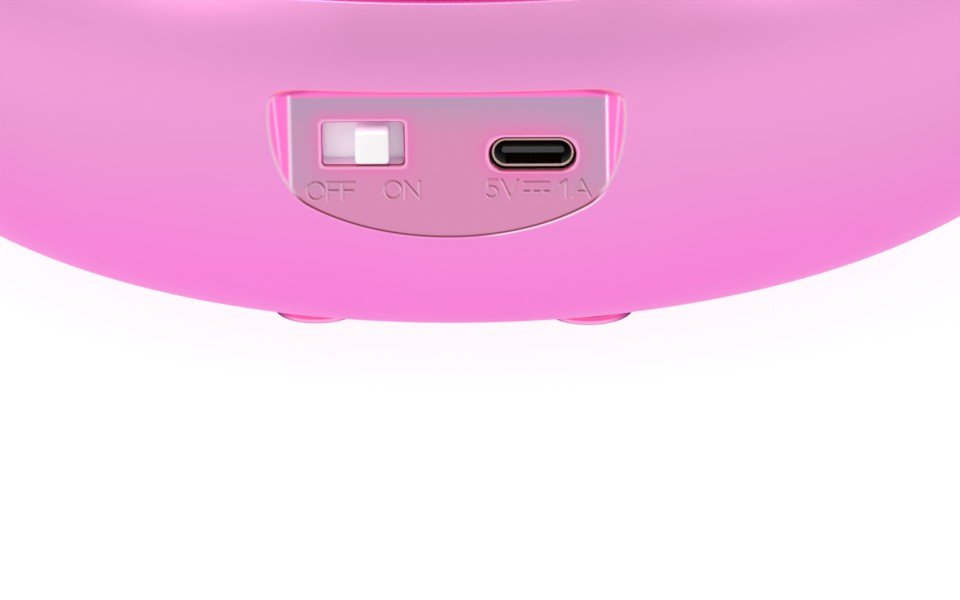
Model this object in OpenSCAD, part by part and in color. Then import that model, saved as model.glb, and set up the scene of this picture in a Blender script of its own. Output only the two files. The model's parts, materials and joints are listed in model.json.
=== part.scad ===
// Desk-top nail dust collector: a round bowl-shaped case with a fan, a lift-out
// filter and a lift-off intake grille on top. A slide switch and a USB-C socket
// sit in a polished bay in the front wall, on the -Y side.
// Origin: centre of the footprint, on the surface the collector stands on. +Z is up.

/* [Case] */
// Largest diameter of the case
case_d = 160; // [156:1:166]
// Radius of the round side wall in section
side_r = 33; // [32.5:0.1:33.5]
// Height of the feet under the case
foot_h = 3; // [2.8:0.1:3.2]
// Overall height
total_h = 61; // [60.5:0.1:61.5]
// Height of the lower shell's rim
rim_z = 49; // [48.5:0.1:49.5]
// Height of the polished trim ring
trim_h = 2; // [1.8:0.1:2.2]
// Wall thickness of the moulded shells
wall = 2.2; // [2:0.1:2.4]

/* [Control bay] */
// Distance of the bay's flat plate from the case's axis
bay_y = 76.8; // [76.6:0.1:77]
// Width of the flat plate
bay_w = 34; // [33:0.5:35]
// Height of the bay's ceiling at the plate
bay_top = 38.9; // [38.6:0.1:39.2]
// Outward rise of the ceiling in degrees
bay_draft = 7.8; // [6:0.1:9]
// Left-right place of the switch window's centre
window_x = -9.1; // [-9.3:0.1:-8.9]
// Height of the switch window's centre
window_z = 32.6; // [32.4:0.1:32.8]
// Width of the switch window
window_w = 8.8; // [8.6:0.1:9]
// Height of the switch window
window_h = 4.8; // [4.6:0.1:5]
// Left-right place of the USB-C socket's centre
usb_x = 9.2; // [9:0.1:9.4]
// Height of the USB-C socket's centre
usb_z = 31.35; // [31.3:0.05:31.4]

/* [Switch] */
// Width of the switch knob
knob_w = 3.7; // [3.5:0.1:3.9]
// Height of the switch knob
knob_h = 3.8; // [3.6:0.1:4]
// How far the knob stands out of the plate
knob_out = 1.3; // [1.1:0.1:1.5]
// Travel of the switch from ON to OFF
switch_travel = 2; // [1.8:0.1:2.2]

/* [Air path] */
// Radius of the filter well in the top cover
well_r = 50.8; // [50.6:0.1:51]
// Radius of the fan frame
fan_r = 46; // [45.5:0.1:46.5]
// Number of fan blades
blade_count = 7; // [5:1:9]
// Distance between neighbouring grille holes
mesh_pitch = 6.4; // [6:0.1:7]
// Width of the webs between the grille holes
mesh_web = 1.1; // [0.9:0.1:1.3]
// Number of exhaust slots in each group
vent_count = 9; // [7:1:9]

/* [Hidden] */
$fn = 96;
fine = 32;
eps = 0.01;

// Section of the case: a circle that rolls the flat bottom up into the side wall
side_c_r = case_d / 2 - side_r;
side_c_z = foot_h + side_r;
floor_z = foot_h + wall;

// Top cover, which carries on the same circle and turns over into the hand rest
cover_z = rim_z + trim_h;
cover_fillet = 4;
fillet_z = total_h - cover_fillet;
fillet_r = side_c_r + sqrt(pow(side_r - cover_fillet, 2) - pow(fillet_z - side_c_z, 2));
ledge_z = total_h - 2;
mouth_r = well_r + 2.2;
collar_t = 2;

// Feet: a pair at the front, a pair at the back and one on each side, the whole set turned
// a little from the bay's centre line
foot_ring_r = 44.4;
foot_angle = 20;
foot_turn = -1.4;
foot_angles = [for (a = [foot_angle - 90, -foot_angle - 90, 0, 180, 90 - foot_angle, 90 + foot_angle])
    a + foot_turn];
foot_r = 4.9;
foot_edge = 0.4;
pad_r = 3;
pad_out = 0.3;
pad_h = 1;
base_t = 0.8;
base_r = foot_ring_r + foot_r + 0.1;
base_screw_r = 36;
base_screw_angles = [45, 135, 225, 315];

// Screws that hold the lower shell to the deck
case_screw_r = 54;
case_screw_angles = [30, 150, 210, 330];
case_tube_r = 4.2;
case_web_z = 28;
case_tube_top = 31;

// Screws: shank radius, head radius and head height
screw_r = 1.5;
head_r = 2.7;
head_h = 1.8;
small_screw_r = 1;
small_head_r = 1.9;
small_head_h = 1.2;

// Deck that carries the fan and parts the suction side from the exhaust side
deck_z = 44;
deck_t = 2;
deck_top = deck_z + deck_t;
deck_in_r = 43.8;
deck_out_r = 74.6;
deck_screw_r = 62;
deck_screw_angles = [45, 135, 225, 315];

// Control bay
bay_back_y = bay_y - wall;
bay_side_run = 2.45;
bay_side_rise = 0.8;
bay_half_out = 19.6;
bay_corner_r = 1.8;
bay_block_w = 44;
bay_block_low = 19;
bay_block_high = 42;

// USB-C socket, standard receptacle sizes
usb_shell_w = 8.94;
usb_shell_h = 3.26;
usb_inner_w = 8.34;
usb_inner_h = 2.56;
usb_length = 7.35;
usb_recess = 0.8;
usb_front_y = bay_y - usb_recess;
usb_hole_gap = 0.19;
tongue_w = 6.7;
tongue_t = 0.7;
tongue_set_back = 0.9;
usb_back_t = 1.6;

// Circuit board
board_top = usb_z - usb_shell_h / 2;
board_t = 1.6;
board_w = 36;
board_front_y = 73.2;
board_back_y = 52;
board_screw_x = 15.5;
board_screw_y = 57;

// Slide switch
flange_t = 0.8;
flange_w = 12.4;
flange_h = 6.4;
flange_y = bay_back_y - 0.3;
knob_x = window_x + switch_travel / 2;
switch_w = 9.6;
switch_d = 3.6;
switch_h = 5;
switch_y = flange_y - flange_t - 0.5;
switch_sheet = 0.3;
stem_w = 1.6;
carriage_w = 4;
carriage_h = 2;
carriage_z = window_z - carriage_h / 2;

// Fan
fan_z = 26;
fan_top = 43.2;
fan_wall = 2.5;
tip_gap = 0.7;
fan_hub_r = 19;
fan_cup_in_r = 17.2;
rotor_low = 29.6;
rotor_top = 43;
cup_roof = 2;
blade_t = 1.4;
blade_pitch = 40;
blade_camber_r = 26;
shaft_r = 1.5;
shaft_gap = 0.03;
shaft_low = 27.35;
shaft_top = 42.4;
bearing_r = 4;
bearing_h = 3;
bearing_z = [28, 35.2];
tube_r = 5.2;
motor_base_r = 17.5;
motor_base_t = 1.2;
magnet_in_r = 15.2;
stator_r = 14.5;
stator_z = 31;
stator_t = 5.6;
pole_count = 6;
ear_r = 49.5;
ear_size = 3.8;
ear_t = 2.6;
ear_angles = [45, 135, 225, 315];
damper_t = deck_z - fan_top;

// Filter and grille
filter_gap = 0.4;
filter_r = well_r - filter_gap;
filter_rim = 3.6;
seal_t = 1;
filter_low = deck_top + seal_t;
filter_top = 55.6;
media_r = filter_r - filter_rim;
pleat_count = 15;
pleat_h = 7;
pleat_t = 0.5;
bezel_top = total_h - 0.4;
bezel_skirt_z = 56.6;
bezel_skirt_r = well_r - 0.3;
bezel_flange_r = mouth_r - 0.3;
bezel_in_r = 45.6;
mesh_t = 1;
mesh_z = 58.2;
mesh_r = 48.6;

// Exhaust slots, in one group on each side and one at the back
vent_groups = [0, 90, 180];
vent_step = 5;
vent_w = 2.4;
vent_h = 15;
vent_z = 28;

// Battery: one flat lithium cell on a foam pad
cell_w = 34;
cell_l = 50;
cell_t = 10;
cell_pad_t = 0.8;
cell_z = floor_z + cell_pad_t;
cell_board_l = 3;

// Leads, as routes through points in the case
lead_r = 0.6;
lead_sides = 8;
lead_steps = 4;
lead_gap = 2;
fan_lead_x = -7;
fan_lead_route = [[0, -15.1, 28.8], [0, -19, 28], [0, -26, 26.5], [0, -36, 24.5],
    [0, -46, 24], [0, -49, 27], [0, -50, 30.8], [0, -51.4, 32.5], [0, -53.2, 32.6]];
battery_lead_x = 5;
battery_lead_route = [[0, -28.1, 11], [0, -33, 10.5], [0, -40, 11], [0, -46, 14],
    [0, -49, 20], [0, -49.6, 26], [0, -50, 30.8], [0, -51.4, 32.5], [0, -53.2, 32.6]];
connector_w = 8;
connector_d = 4.6;
connector_h = 5.6;
connector_y = 52.4;
connector_hole_r = 0.8;
connector_hole_l = 1.2;
connector_hole_z = 32.6;

// ---- Shared shapes ----

// A ring or tube between two radii, standing on z
module ring(r_in, r_out, z, h) {
    translate([0, 0, z])
        difference() {
            cylinder(r = r_out, h = h);
            translate([0, 0, -1])
                cylinder(r = r_in, h = h + 2);
        }
}

// Children repeated at each of the angles, a distance r from the axis
module around(angles, r) {
    for (a = angles)
        rotate([0, 0, a])
            translate([r, 0, 0])
                children();
}

// A rectangle with round corners, centred
module rounded_rect(w, h, r) {
    square([w - 2 * r, h], center = true);
    square([w, h - 2 * r], center = true);
    for (x = [-1, 1])
        for (y = [-1, 1])
            translate([x * (w / 2 - r), y * (h / 2 - r)])
                circle(r = r, $fn = fine);
}

// A rectangle whose short ends are half circles, centred
module stadium(w, h) {
    square([w - h, h], center = true);
    for (x = [-1, 1])
        translate([x * (w - h) / 2, 0])
            circle(d = h, $fn = fine);
}

// An outline drawn in X and Z, extruded towards the front from the depth y_back to y_front
module front_extrude(y_back, y_front) {
    translate([0, -y_back, 0])
        rotate([90, 0, 0])
            linear_extrude(height = y_front - y_back)
                children();
}

// A screw that points up: its head hangs below z = 0 and its shank stands above
module screw(shank_r, cap_r, cap_h, length) {
    slot_w = shank_r * 0.5;
    slot_l = cap_r * 1.2;
    difference() {
        union() {
            cylinder(r = shank_r, h = length, $fn = fine);
            translate([0, 0, -cap_h])
                cylinder(r = cap_r, h = cap_h, $fn = fine);
        }
        for (a = [0, 90])
            rotate([0, 0, a])
                translate([-slot_l / 2, -slot_w / 2, -cap_h - 1])
                    cube([slot_l, slot_w, 1 + cap_h * 0.6]);
    }
}

// A point on the smooth curve through the points p, between p[i] and p[i + 1]
function curve_point(p, i, t) =
    let (a = p[max(i - 1, 0)], b = p[i], c = p[i + 1], d = p[min(i + 2, len(p) - 1)])
    0.5 * (2 * b + (c - a) * t + (2 * a - 5 * b + 4 * c - d) * t * t
        + (3 * b - a - 3 * c + d) * t * t * t);

// The whole curve as a list of points
function curve(p, steps) =
    [for (i = [0:len(p) - 2]) for (k = [0:steps - 1]) curve_point(p, i, k / steps), p[len(p) - 1]];

// A round lead along a route that lies in a plane of constant x
module lead(route) {
    p = curve(route, lead_steps);
    n = len(p);
    points = [for (i = [0:n - 1])
        let (t = p[min(i + 1, n - 1)] - p[max(i - 1, 0)],
             side = [1, 0, 0],
             up = cross(t, side) / norm(t))
        for (k = [0:lead_sides - 1])
            p[i] + lead_r * (cos(360 * k / lead_sides) * side + sin(360 * k / lead_sides) * up)];
    walls = [for (i = [0:n - 2]) for (k = [0:lead_sides - 1])
        let (j = (k + 1) % lead_sides)
        [i * lead_sides + k, i * lead_sides + j, (i + 1) * lead_sides + j, (i + 1) * lead_sides + k]];
    first_end = [for (k = [lead_sides - 1:-1:0]) k];
    last_end = [for (k = [0:lead_sides - 1]) (n - 1) * lead_sides + k];
    polyhedron(points = points, faces = concat(walls, [first_end], [last_end]));
}

// ---- Case ----

// Half section of the bowl below the height top, its walls moved in by inset
module bowl_section(inset, top) {
    intersection() {
        union() {
            translate([side_c_r, side_c_z])
                circle(r = side_r - inset);
            translate([0, foot_h + inset])
                square([side_c_r, top]);
        }
        square([case_d, top]);
    }
}

module bowl_solid() {
    rotate_extrude()
        bowl_section(0, rim_z);
}

// What the bay takes out of the wall: flat back, flared sides, drafted ceiling
module bay_cutter() {
    out = 6;
    side_out = out * bay_side_run / bay_side_rise;
    intersection() {
        rotate([90, 0, 90])
            linear_extrude(height = case_d, center = true)
                polygon([[-bay_y, 0], [-bay_y, bay_top],
                    [-bay_y - out, bay_top + out * tan(bay_draft)], [-bay_y - out, 0]]);
        linear_extrude(height = rim_z)
            polygon([[-bay_w / 2, -bay_y], [bay_w / 2, -bay_y],
                [bay_w / 2 + side_out, -bay_y - out], [-bay_w / 2 - side_out, -bay_y - out]]);
        front_extrude(bay_y - 1, bay_y + out)
            union() {
                corner_x = bay_half_out - bay_corner_r;
                corner_z = bay_top + 0.5 - bay_corner_r;
                translate([-bay_half_out, 0])
                    square([2 * bay_half_out, corner_z]);
                translate([-corner_x, 0])
                    square([2 * corner_x, rim_z]);
                for (x = [-corner_x, corner_x])
                    translate([x, corner_z])
                        circle(r = bay_corner_r, $fn = fine);
            }
    }
}

module vent_slots() {
    for (group = vent_groups)
        for (i = [0:vent_count - 1])
            rotate([0, 0, group + (i - (vent_count - 1) / 2) * vent_step])
                translate([case_screw_r + case_tube_r + 1, 0, vent_z])
                    rotate([90, 90, 90])
                        linear_extrude(height = case_d / 4)
                            stadium(vent_h, vent_w);
}

// Everything inside the lower shell that stands up from its floor
module shell_posts() {
    intersection() {
        bowl_solid();
        union() {
            around(case_screw_angles, case_screw_r)
                cylinder(r = case_tube_r, h = case_tube_top, $fn = fine);
            around(base_screw_angles, base_screw_r)
                cylinder(r = 3.2, h = 11, $fn = fine);
            for (x = [-board_screw_x, board_screw_x])
                translate([x, -board_screw_y, 0])
                    cylinder(r = 2.8, h = board_top - board_t, $fn = fine);
        }
    }
}

module lower_shell() {
    color([0.93, 0.58, 0.82])
    difference() {
        union() {
            difference() {
                bowl_solid();
                rotate_extrude()
                    bowl_section(wall, rim_z + 1);
            }
            intersection() {
                bowl_solid();
                translate([-bay_block_w / 2, -case_d, bay_block_low])
                    cube([bay_block_w, case_d - bay_back_y, bay_block_high - bay_block_low]);
            }
            shell_posts();
        }
        bay_cutter();
        front_extrude(bay_back_y - 1, bay_y + 1)
            translate([window_x, window_z])
                rounded_rect(window_w, window_h, 0.4);
        front_extrude(bay_back_y - 1, bay_y + 1)
            translate([usb_x, usb_z])
                stadium(usb_shell_w + 2 * usb_hole_gap, usb_shell_h + 2 * usb_hole_gap);
        vent_slots();
        around(case_screw_angles, case_screw_r)
            union() {
                cylinder(r = head_r + 0.3, h = case_web_z, $fn = fine);
                cylinder(r = screw_r + 0.2, h = case_tube_top + 1, $fn = fine);
            }
        around(base_screw_angles, base_screw_r)
            cylinder(r = small_screw_r, h = 12, $fn = fine);
        for (x = [-board_screw_x, board_screw_x])
            translate([x, -board_screw_y, board_top - board_t - 8])
                cylinder(r = small_screw_r, h = 9, $fn = fine);
    }
}

module foot() {
    rotate_extrude()
        union() {
            translate([0, pad_out])
                square([foot_r - foot_edge, foot_h - pad_out]);
            translate([0, pad_out + foot_edge])
                square([foot_r, foot_h - pad_out - foot_edge]);
            translate([foot_r - foot_edge, pad_out + foot_edge])
                circle(r = foot_edge, $fn = fine);
        }
}

module base_plate() {
    color([0.95, 0.50, 0.78])
    difference() {
        union() {
            translate([0, 0, foot_h - base_t])
                cylinder(r = base_r, h = base_t);
            around(foot_angles, foot_ring_r)
                foot();
        }
        around(foot_angles, foot_ring_r)
            translate([0, 0, -1])
                cylinder(r = pad_r, h = 1 + pad_h, $fn = fine);
        around(base_screw_angles, base_screw_r)
            cylinder(r = small_screw_r + 0.15, h = foot_h + 1, $fn = fine);
    }
}

module foot_pads() {
    color([0.12, 0.12, 0.13])
    around(foot_angles, foot_ring_r)
        cylinder(r = pad_r, h = pad_h, $fn = fine);
}

module base_screws() {
    color([0.75, 0.75, 0.77])
    around(base_screw_angles, base_screw_r)
        translate([0, 0, foot_h - base_t])
            screw(small_screw_r, small_head_r, small_head_h, 7);
}

module case_screws() {
    color([0.75, 0.75, 0.77])
    around(case_screw_angles, case_screw_r)
        translate([0, 0, case_web_z])
            screw(screw_r, head_r, head_h, 12);
}

module trim_ring() {
    ring_r = side_c_r + sqrt(pow(side_r, 2) - pow(rim_z + trim_h / 2 - side_c_z, 2)) + 0.3;
    lip_r = side_c_r + sqrt(pow(side_r - wall, 2) - pow(rim_z - side_c_z, 2)) - 0.15;
    lip_t = 1.6;
    color([0.98, 0.45, 0.76])
    rotate_extrude()
        union() {
            translate([lip_r - lip_t, rim_z])
                square([ring_r - trim_h / 2 - lip_r + lip_t, trim_h]);
            translate([ring_r - trim_h / 2, rim_z + trim_h / 2])
                circle(d = trim_h, $fn = fine);
            translate([lip_r - lip_t, rim_z - 2])
                square([lip_t, 2 + eps]);
        }
}

// Half section of the top cover's outside, its walls moved in by inset
module cover_section(inset) {
    reach = 2 * side_r;
    slope = [fillet_r - side_c_r, fillet_z - side_c_z] / (side_r - cover_fillet);
    intersection() {
        translate([side_c_r, side_c_z])
            circle(r = side_r - inset);
        translate([side_c_r, side_c_z])
            polygon([[0, 0], [reach, 0], reach * slope]);
        translate([0, cover_z - inset])
            square([case_d, total_h]);
    }
    translate([fillet_r, fillet_z])
        circle(r = cover_fillet - inset, $fn = fine);
    translate([mouth_r - 3 * inset, cover_z - inset])
        square([fillet_r - mouth_r + 3 * inset, total_h - cover_z]);
}

module top_cover() {
    color([0.93, 0.58, 0.82])
    union() {
        rotate_extrude()
            union() {
                difference() {
                    cover_section(0);
                    cover_section(wall);
                }
                translate([well_r, ledge_z - 4])
                    square([mouth_r - well_r + 2, 4]);
                translate([mouth_r, ledge_z - 1])
                    square([2, total_h - ledge_z + 1]);
                translate([well_r, deck_top])
                    square([collar_t, ledge_z - deck_top]);
            }
        difference() {
            around(deck_screw_angles, deck_screw_r)
                translate([0, 0, deck_top])
                    cylinder(r = 3.6, h = total_h - wall / 2 - deck_top, $fn = fine);
            around(deck_screw_angles, deck_screw_r)
                translate([0, 0, deck_top - 1])
                    cylinder(r = screw_r, h = 11, $fn = fine);
        }
    }
}

// ---- Intake grille ----

module grille_bezel() {
    color([0.98, 0.45, 0.76])
    rotate_extrude()
        difference() {
            union() {
                translate([bezel_in_r, ledge_z])
                    square([bezel_flange_r - bezel_in_r - 0.6, bezel_top - ledge_z]);
                translate([bezel_in_r, ledge_z])
                    square([bezel_flange_r - bezel_in_r, bezel_top - ledge_z - 0.6]);
                translate([bezel_flange_r - 0.6, bezel_top - 0.6])
                    circle(r = 0.6, $fn = fine);
                translate([bezel_skirt_r - 4, bezel_skirt_z])
                    square([4, ledge_z - bezel_skirt_z + eps]);
            }
            translate([0, mesh_z])
                square([mesh_r, mesh_t]);
            translate([0, bezel_skirt_z - 1])
                square([mesh_r - 1, mesh_z - bezel_skirt_z + 1 + eps]);
        }
}

module intake_grille() {
    row_step = mesh_pitch * sqrt(3) / 2;
    rows = floor(mesh_r / row_step);
    columns = ceil(mesh_r / mesh_pitch);
    hole_r = (mesh_pitch - mesh_web) / sqrt(3);
    color([0.80, 0.80, 0.83])
    translate([0, 0, mesh_z])
        linear_extrude(height = mesh_t)
            difference() {
                circle(r = mesh_r);
                for (j = [-rows:rows])
                    for (i = [-columns:columns])
                        let (x = (i + (abs(j) % 2) / 2) * mesh_pitch, y = j * row_step)
                        if (norm([x, y]) < bezel_in_r - mesh_pitch / 2)
                            translate([x, y])
                                rotate(30)
                                    circle(r = hole_r, $fn = 6);
            }
}

// ---- Filter ----

module filter_frame() {
    color([0.93, 0.93, 0.95])
    union() {
        ring(media_r, filter_r, filter_low, filter_top - filter_low);
        for (a = [0, 90])
            rotate([0, 0, a])
                intersection() {
                    translate([-filter_r, -1, filter_low])
                        cube([2 * filter_r, 2, 0.6]);
                    cylinder(r = media_r + 1, h = total_h);
                }
    }
}

module filter_media() {
    pitch = 2 * media_r / pleat_count;
    low = filter_low + 0.65;
    count = 2 * pleat_count;
    zigzag = [for (i = [0:count]) [-media_r + i * pitch / 2, low + (i % 2) * pleat_h]];
    shifted = [for (i = [count:-1:0]) zigzag[i] + [0, pleat_t * 2]];
    color([0.97, 0.96, 0.93])
    intersection() {
        rotate([90, 0, 0])
            linear_extrude(height = 2 * media_r, center = true)
                polygon(concat(zigzag, shifted));
        translate([0, 0, filter_low])
            cylinder(r = media_r - 0.02, h = total_h);
    }
}

module filter_seal() {
    color([0.20, 0.20, 0.22])
    ring(media_r, filter_r - 0.4, deck_top, seal_t);
}

module filter_tab() {
    tab_l = 15;
    tab_w = 9;
    color([0.95, 0.45, 0.75])
    translate([0, -filter_r + 1 + tab_l / 2, filter_top])
        linear_extrude(height = 0.5)
            rounded_rect(tab_w, tab_l, 1.5);
}

// ---- Deck ----

module fan_deck() {
    color([0.85, 0.85, 0.87])
    difference() {
        union() {
            ring(deck_in_r, deck_out_r, deck_z, deck_t);
            around(case_screw_angles, case_screw_r)
                translate([0, 0, case_tube_top])
                    cylinder(r = 3.6, h = deck_z - case_tube_top + 1, $fn = fine);
        }
        around(case_screw_angles, case_screw_r)
            translate([0, 0, case_tube_top - 1])
                cylinder(r = screw_r, h = 11, $fn = fine);
        around(deck_screw_angles, deck_screw_r)
            translate([0, 0, deck_z - 1])
                cylinder(r = screw_r + 0.15, h = deck_t + 2, $fn = fine);
        around(ear_angles, ear_r)
            translate([0, 0, deck_z - 1])
                cylinder(r = small_screw_r, h = deck_t + 0.4, $fn = fine);
    }
}

module deck_gasket() {
    gasket_r = side_c_r + sqrt(pow(side_r - wall, 2) - pow(deck_top - side_c_z, 2)) - 0.05;
    color([0.25, 0.25, 0.27])
    ring(deck_out_r, gasket_r, deck_z, deck_t);
}

module deck_screws() {
    color([0.75, 0.75, 0.77])
    around(deck_screw_angles, deck_screw_r)
        translate([0, 0, deck_z])
            screw(screw_r, head_r, head_h, 11);
}

// ---- Fan ----

module fan_frame() {
    color([0.15, 0.15, 0.16])
    difference() {
        union() {
            ring(fan_r - fan_wall, fan_r, fan_z, fan_top - fan_z);
            translate([0, 0, fan_z])
                cylinder(r = motor_base_r, h = motor_base_t);
            translate([0, 0, fan_z])
                cylinder(r = tube_r, h = bearing_z[1] + bearing_h - fan_z, $fn = fine);
            for (a = [0, 90, 180, 270])
                rotate([0, 0, a])
                    translate([motor_base_r - 1, -1.4, fan_z])
                        cube([fan_r - motor_base_r - 0.5, 2.8, 2.4]);
            around(ear_angles, ear_r)
                translate([0, 0, fan_top - ear_t])
                    cylinder(r = ear_size, h = ear_t, $fn = fine);
            for (a = ear_angles)
                rotate([0, 0, a])
                    translate([fan_r - 1, -ear_size, fan_top - ear_t])
                        cube([ear_r - fan_r + 1, 2 * ear_size, ear_t]);
        }
        translate([0, 0, shaft_low - 0.15])
            cylinder(r = bearing_r, h = fan_top, $fn = fine);
        around(ear_angles, ear_r)
            translate([0, 0, fan_z])
                cylinder(r = small_screw_r + 0.15, h = fan_top, $fn = fine);
    }
}

module fan_screws() {
    color([0.75, 0.75, 0.77])
    around(ear_angles, ear_r)
        translate([0, 0, fan_top - ear_t])
            screw(small_screw_r, small_head_r, small_head_h, ear_t + damper_t + 1.2);
}

module fan_dampers() {
    color([0.30, 0.30, 0.32])
    around(ear_angles, ear_r)
        ring(small_screw_r + 0.15, 2.9, fan_top, damper_t, $fn = fine);
}

// One cambered blade: a slice of a tilted tube between the hub and the tip
module blade() {
    tip_r = fan_r - fan_wall - tip_gap;
    mid_z = (rotor_low + rotor_top) / 2;
    intersection() {
        ring(fan_hub_r - 0.8, tip_r, rotor_low, rotor_top - rotor_low);
        translate([0, 0, mid_z])
            rotate([blade_pitch, 0, 0])
                translate([fan_hub_r - 2, 0, blade_camber_r])
                    rotate([0, 90, 0])
                        intersection() {
                            difference() {
                                cylinder(r = blade_camber_r + blade_t / 2, h = fan_r);
                                translate([0, 0, -1])
                                    cylinder(r = blade_camber_r - blade_t / 2, h = fan_r + 2);
                            }
                            translate([0, -11, 0])
                                cube([2 * blade_camber_r, 22, fan_r]);
                        }
    }
}

module fan_rotor() {
    color([0.20, 0.20, 0.22])
    difference() {
        union() {
            difference() {
                translate([0, 0, rotor_low])
                    cylinder(r = fan_hub_r, h = rotor_top - rotor_low);
                translate([0, 0, rotor_low - 1])
                    cylinder(r = fan_cup_in_r, h = rotor_top - cup_roof - rotor_low + 1);
            }
            translate([0, 0, rotor_top - cup_roof - 2])
                cylinder(r = 3.6, h = 3, $fn = fine);
            for (i = [0:blade_count - 1])
                rotate([0, 0, 360 * i / blade_count])
                    blade();
        }
        translate([0, 0, rotor_low])
            cylinder(r = shaft_r, h = shaft_top - rotor_low, $fn = fine);
    }
}

module fan_shaft() {
    color([0.80, 0.80, 0.82])
    difference() {
        translate([0, 0, shaft_low])
            cylinder(r = shaft_r, h = shaft_top - shaft_low, $fn = fine);
        ring(shaft_r - 0.3, shaft_r + 1, shaft_low + 0.15, 0.4, $fn = fine);
    }
}

module shaft_clip() {
    color([0.60, 0.60, 0.62])
    difference() {
        ring(shaft_r - 0.3, 2.6, shaft_low + 0.15, 0.4, $fn = fine);
        translate([0, -0.8, shaft_low])
            cube([4, 1.6, 1]);
    }
}

module fan_magnet() {
    color([0.35, 0.33, 0.32])
    ring(magnet_in_r, fan_cup_in_r, rotor_low + 0.4, 9);
}

module fan_bearings() {
    color([0.70, 0.70, 0.73])
    for (z = bearing_z)
        ring(shaft_r + shaft_gap, bearing_r, z, bearing_h, $fn = fine);
}

module fan_stator() {
    shoe_angle = 46;
    color([0.55, 0.55, 0.58])
    translate([0, 0, stator_z])
        linear_extrude(height = stator_t)
            union() {
                difference() {
                    circle(r = 8);
                    circle(r = tube_r);
                }
                for (i = [0:pole_count - 1])
                    rotate(360 * i / pole_count) {
                        translate([7, -1.5])
                            square([7, 3]);
                        intersection() {
                            difference() {
                                circle(r = stator_r);
                                circle(r = stator_r - 1.6);
                            }
                            polygon([[0, 0], 2 * stator_r * [cos(shoe_angle / 2), -sin(shoe_angle / 2)],
                                2 * stator_r * [cos(shoe_angle / 2), sin(shoe_angle / 2)]]);
                        }
                    }
            }
}

module fan_windings() {
    coil_l = 3.6;
    coil_w = 5.2;
    color([0.72, 0.40, 0.20])
    for (i = [0:pole_count - 1])
        rotate([0, 0, 360 * i / pole_count])
            difference() {
                translate([8.6, -coil_w / 2, stator_z - 1])
                    cube([coil_l, coil_w, stator_t + 2]);
                translate([8, -1.5, stator_z])
                    cube([coil_l + 2, 3, stator_t]);
            }
}

module fan_board() {
    color([0.10, 0.35, 0.20])
    ring(tube_r + 0.1, 14.8, 28, 1.2);
}

// The two leads of a pair, side by side
module lead_pair(x, route) {
    for (side = [-1, 1])
        translate([x + side * lead_gap / 2, 0, 0])
            lead(route);
}

module fan_leads() {
    color([0.75, 0.10, 0.10])
    lead_pair(fan_lead_x, fan_lead_route);
}

// ---- Circuit board ----

module main_board() {
    color([0.08, 0.38, 0.22])
    difference() {
        translate([-board_w / 2, -board_front_y, board_top - board_t])
            cube([board_w, board_front_y - board_back_y, board_t]);
        for (x = [-board_screw_x, board_screw_x])
            translate([x, -board_screw_y, board_top - board_t - 1])
                cylinder(r = small_screw_r + 0.15, h = board_t + 2, $fn = fine);
    }
}

module board_screws() {
    color([0.75, 0.75, 0.77])
    for (x = [-board_screw_x, board_screw_x])
        translate([x, -board_screw_y, board_top])
            rotate([180, 0, 0])
                screw(small_screw_r, small_head_r, small_head_h, 6);
}

module board_chips() {
    color([0.10, 0.10, 0.11])
    for (place = [[0, -65.5, 4.9, 3.9], [-4, -60.5, 3, 1.6], [13, -62.5, 4.9, 3.9]])
        translate([place[0] - place[2] / 2, place[1] - place[3] / 2, board_top])
            cube([place[2], place[3], 1.4]);
}

module board_passives() {
    coil = 5;
    color([0.45, 0.44, 0.42])
    translate([5 - coil / 2, -63 - coil / 2, board_top])
        cube([coil, coil, 3]);
    color([0.75, 0.62, 0.42])
    for (place = [[-9, -62], [-12, -62], [-9, -65], [-12, -65], [0, -61], [16, -67]])
        translate([place[0] - 1, place[1] - 0.6, board_top])
            cube([2, 1.2, 1]);
}

// A two-pole board connector; the leads go into the two holes in its back
module connector(x) {
    color([0.95, 0.94, 0.90])
    difference() {
        translate([x - connector_w / 2, -connector_y - connector_d, board_top])
            cube([connector_w, connector_d, connector_h]);
        translate([x - connector_w / 2 + 1, -connector_y - connector_d + 1.2, board_top + 4.6])
            cube([connector_w - 2, connector_d, connector_h]);
        for (side = [-1, 1])
            translate([x + side * lead_gap / 2, -connector_y + 1, connector_hole_z])
                rotate([90, 0, 0])
                    cylinder(r = connector_hole_r, h = connector_hole_l + 1, $fn = fine);
    }
}

module fan_connector() {
    connector(fan_lead_x);
}

module battery_connector() {
    connector(battery_lead_x);
}

// ---- USB-C socket ----

module usb_shell() {
    color([0.72, 0.70, 0.66])
    front_extrude(usb_front_y - usb_length, usb_front_y)
        translate([usb_x, usb_z])
            difference() {
                stadium(usb_shell_w, usb_shell_h);
                stadium(usb_inner_w, usb_inner_h);
            }
}

module usb_tongue() {
    back_y = usb_front_y - usb_length;
    color([0.08, 0.08, 0.09])
    union() {
        front_extrude(back_y, back_y + usb_back_t)
            translate([usb_x, usb_z])
                stadium(usb_inner_w, usb_inner_h);
        front_extrude(back_y + usb_back_t - eps, usb_front_y - tongue_set_back)
            translate([usb_x, usb_z])
                rounded_rect(tongue_w, tongue_t, 0.25);
    }
}

module usb_contacts() {
    contact_step = 0.5;
    contact_w = 0.25;
    contact_t = 0.05;
    contact_count = 12;
    contact_back = usb_front_y - usb_length + usb_back_t;
    contact_front = usb_front_y - tongue_set_back - 0.6;
    color([0.85, 0.70, 0.35])
    for (i = [0:contact_count - 1])
        for (side = [-1, 1])
            translate([usb_x + (i - (contact_count - 1) / 2) * contact_step - contact_w / 2,
                -contact_front,
                usb_z + side * (tongue_t + contact_t) / 2 - contact_t / 2])
                cube([contact_w, contact_front - contact_back, contact_t]);
}

// ---- Slide switch ----

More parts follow.
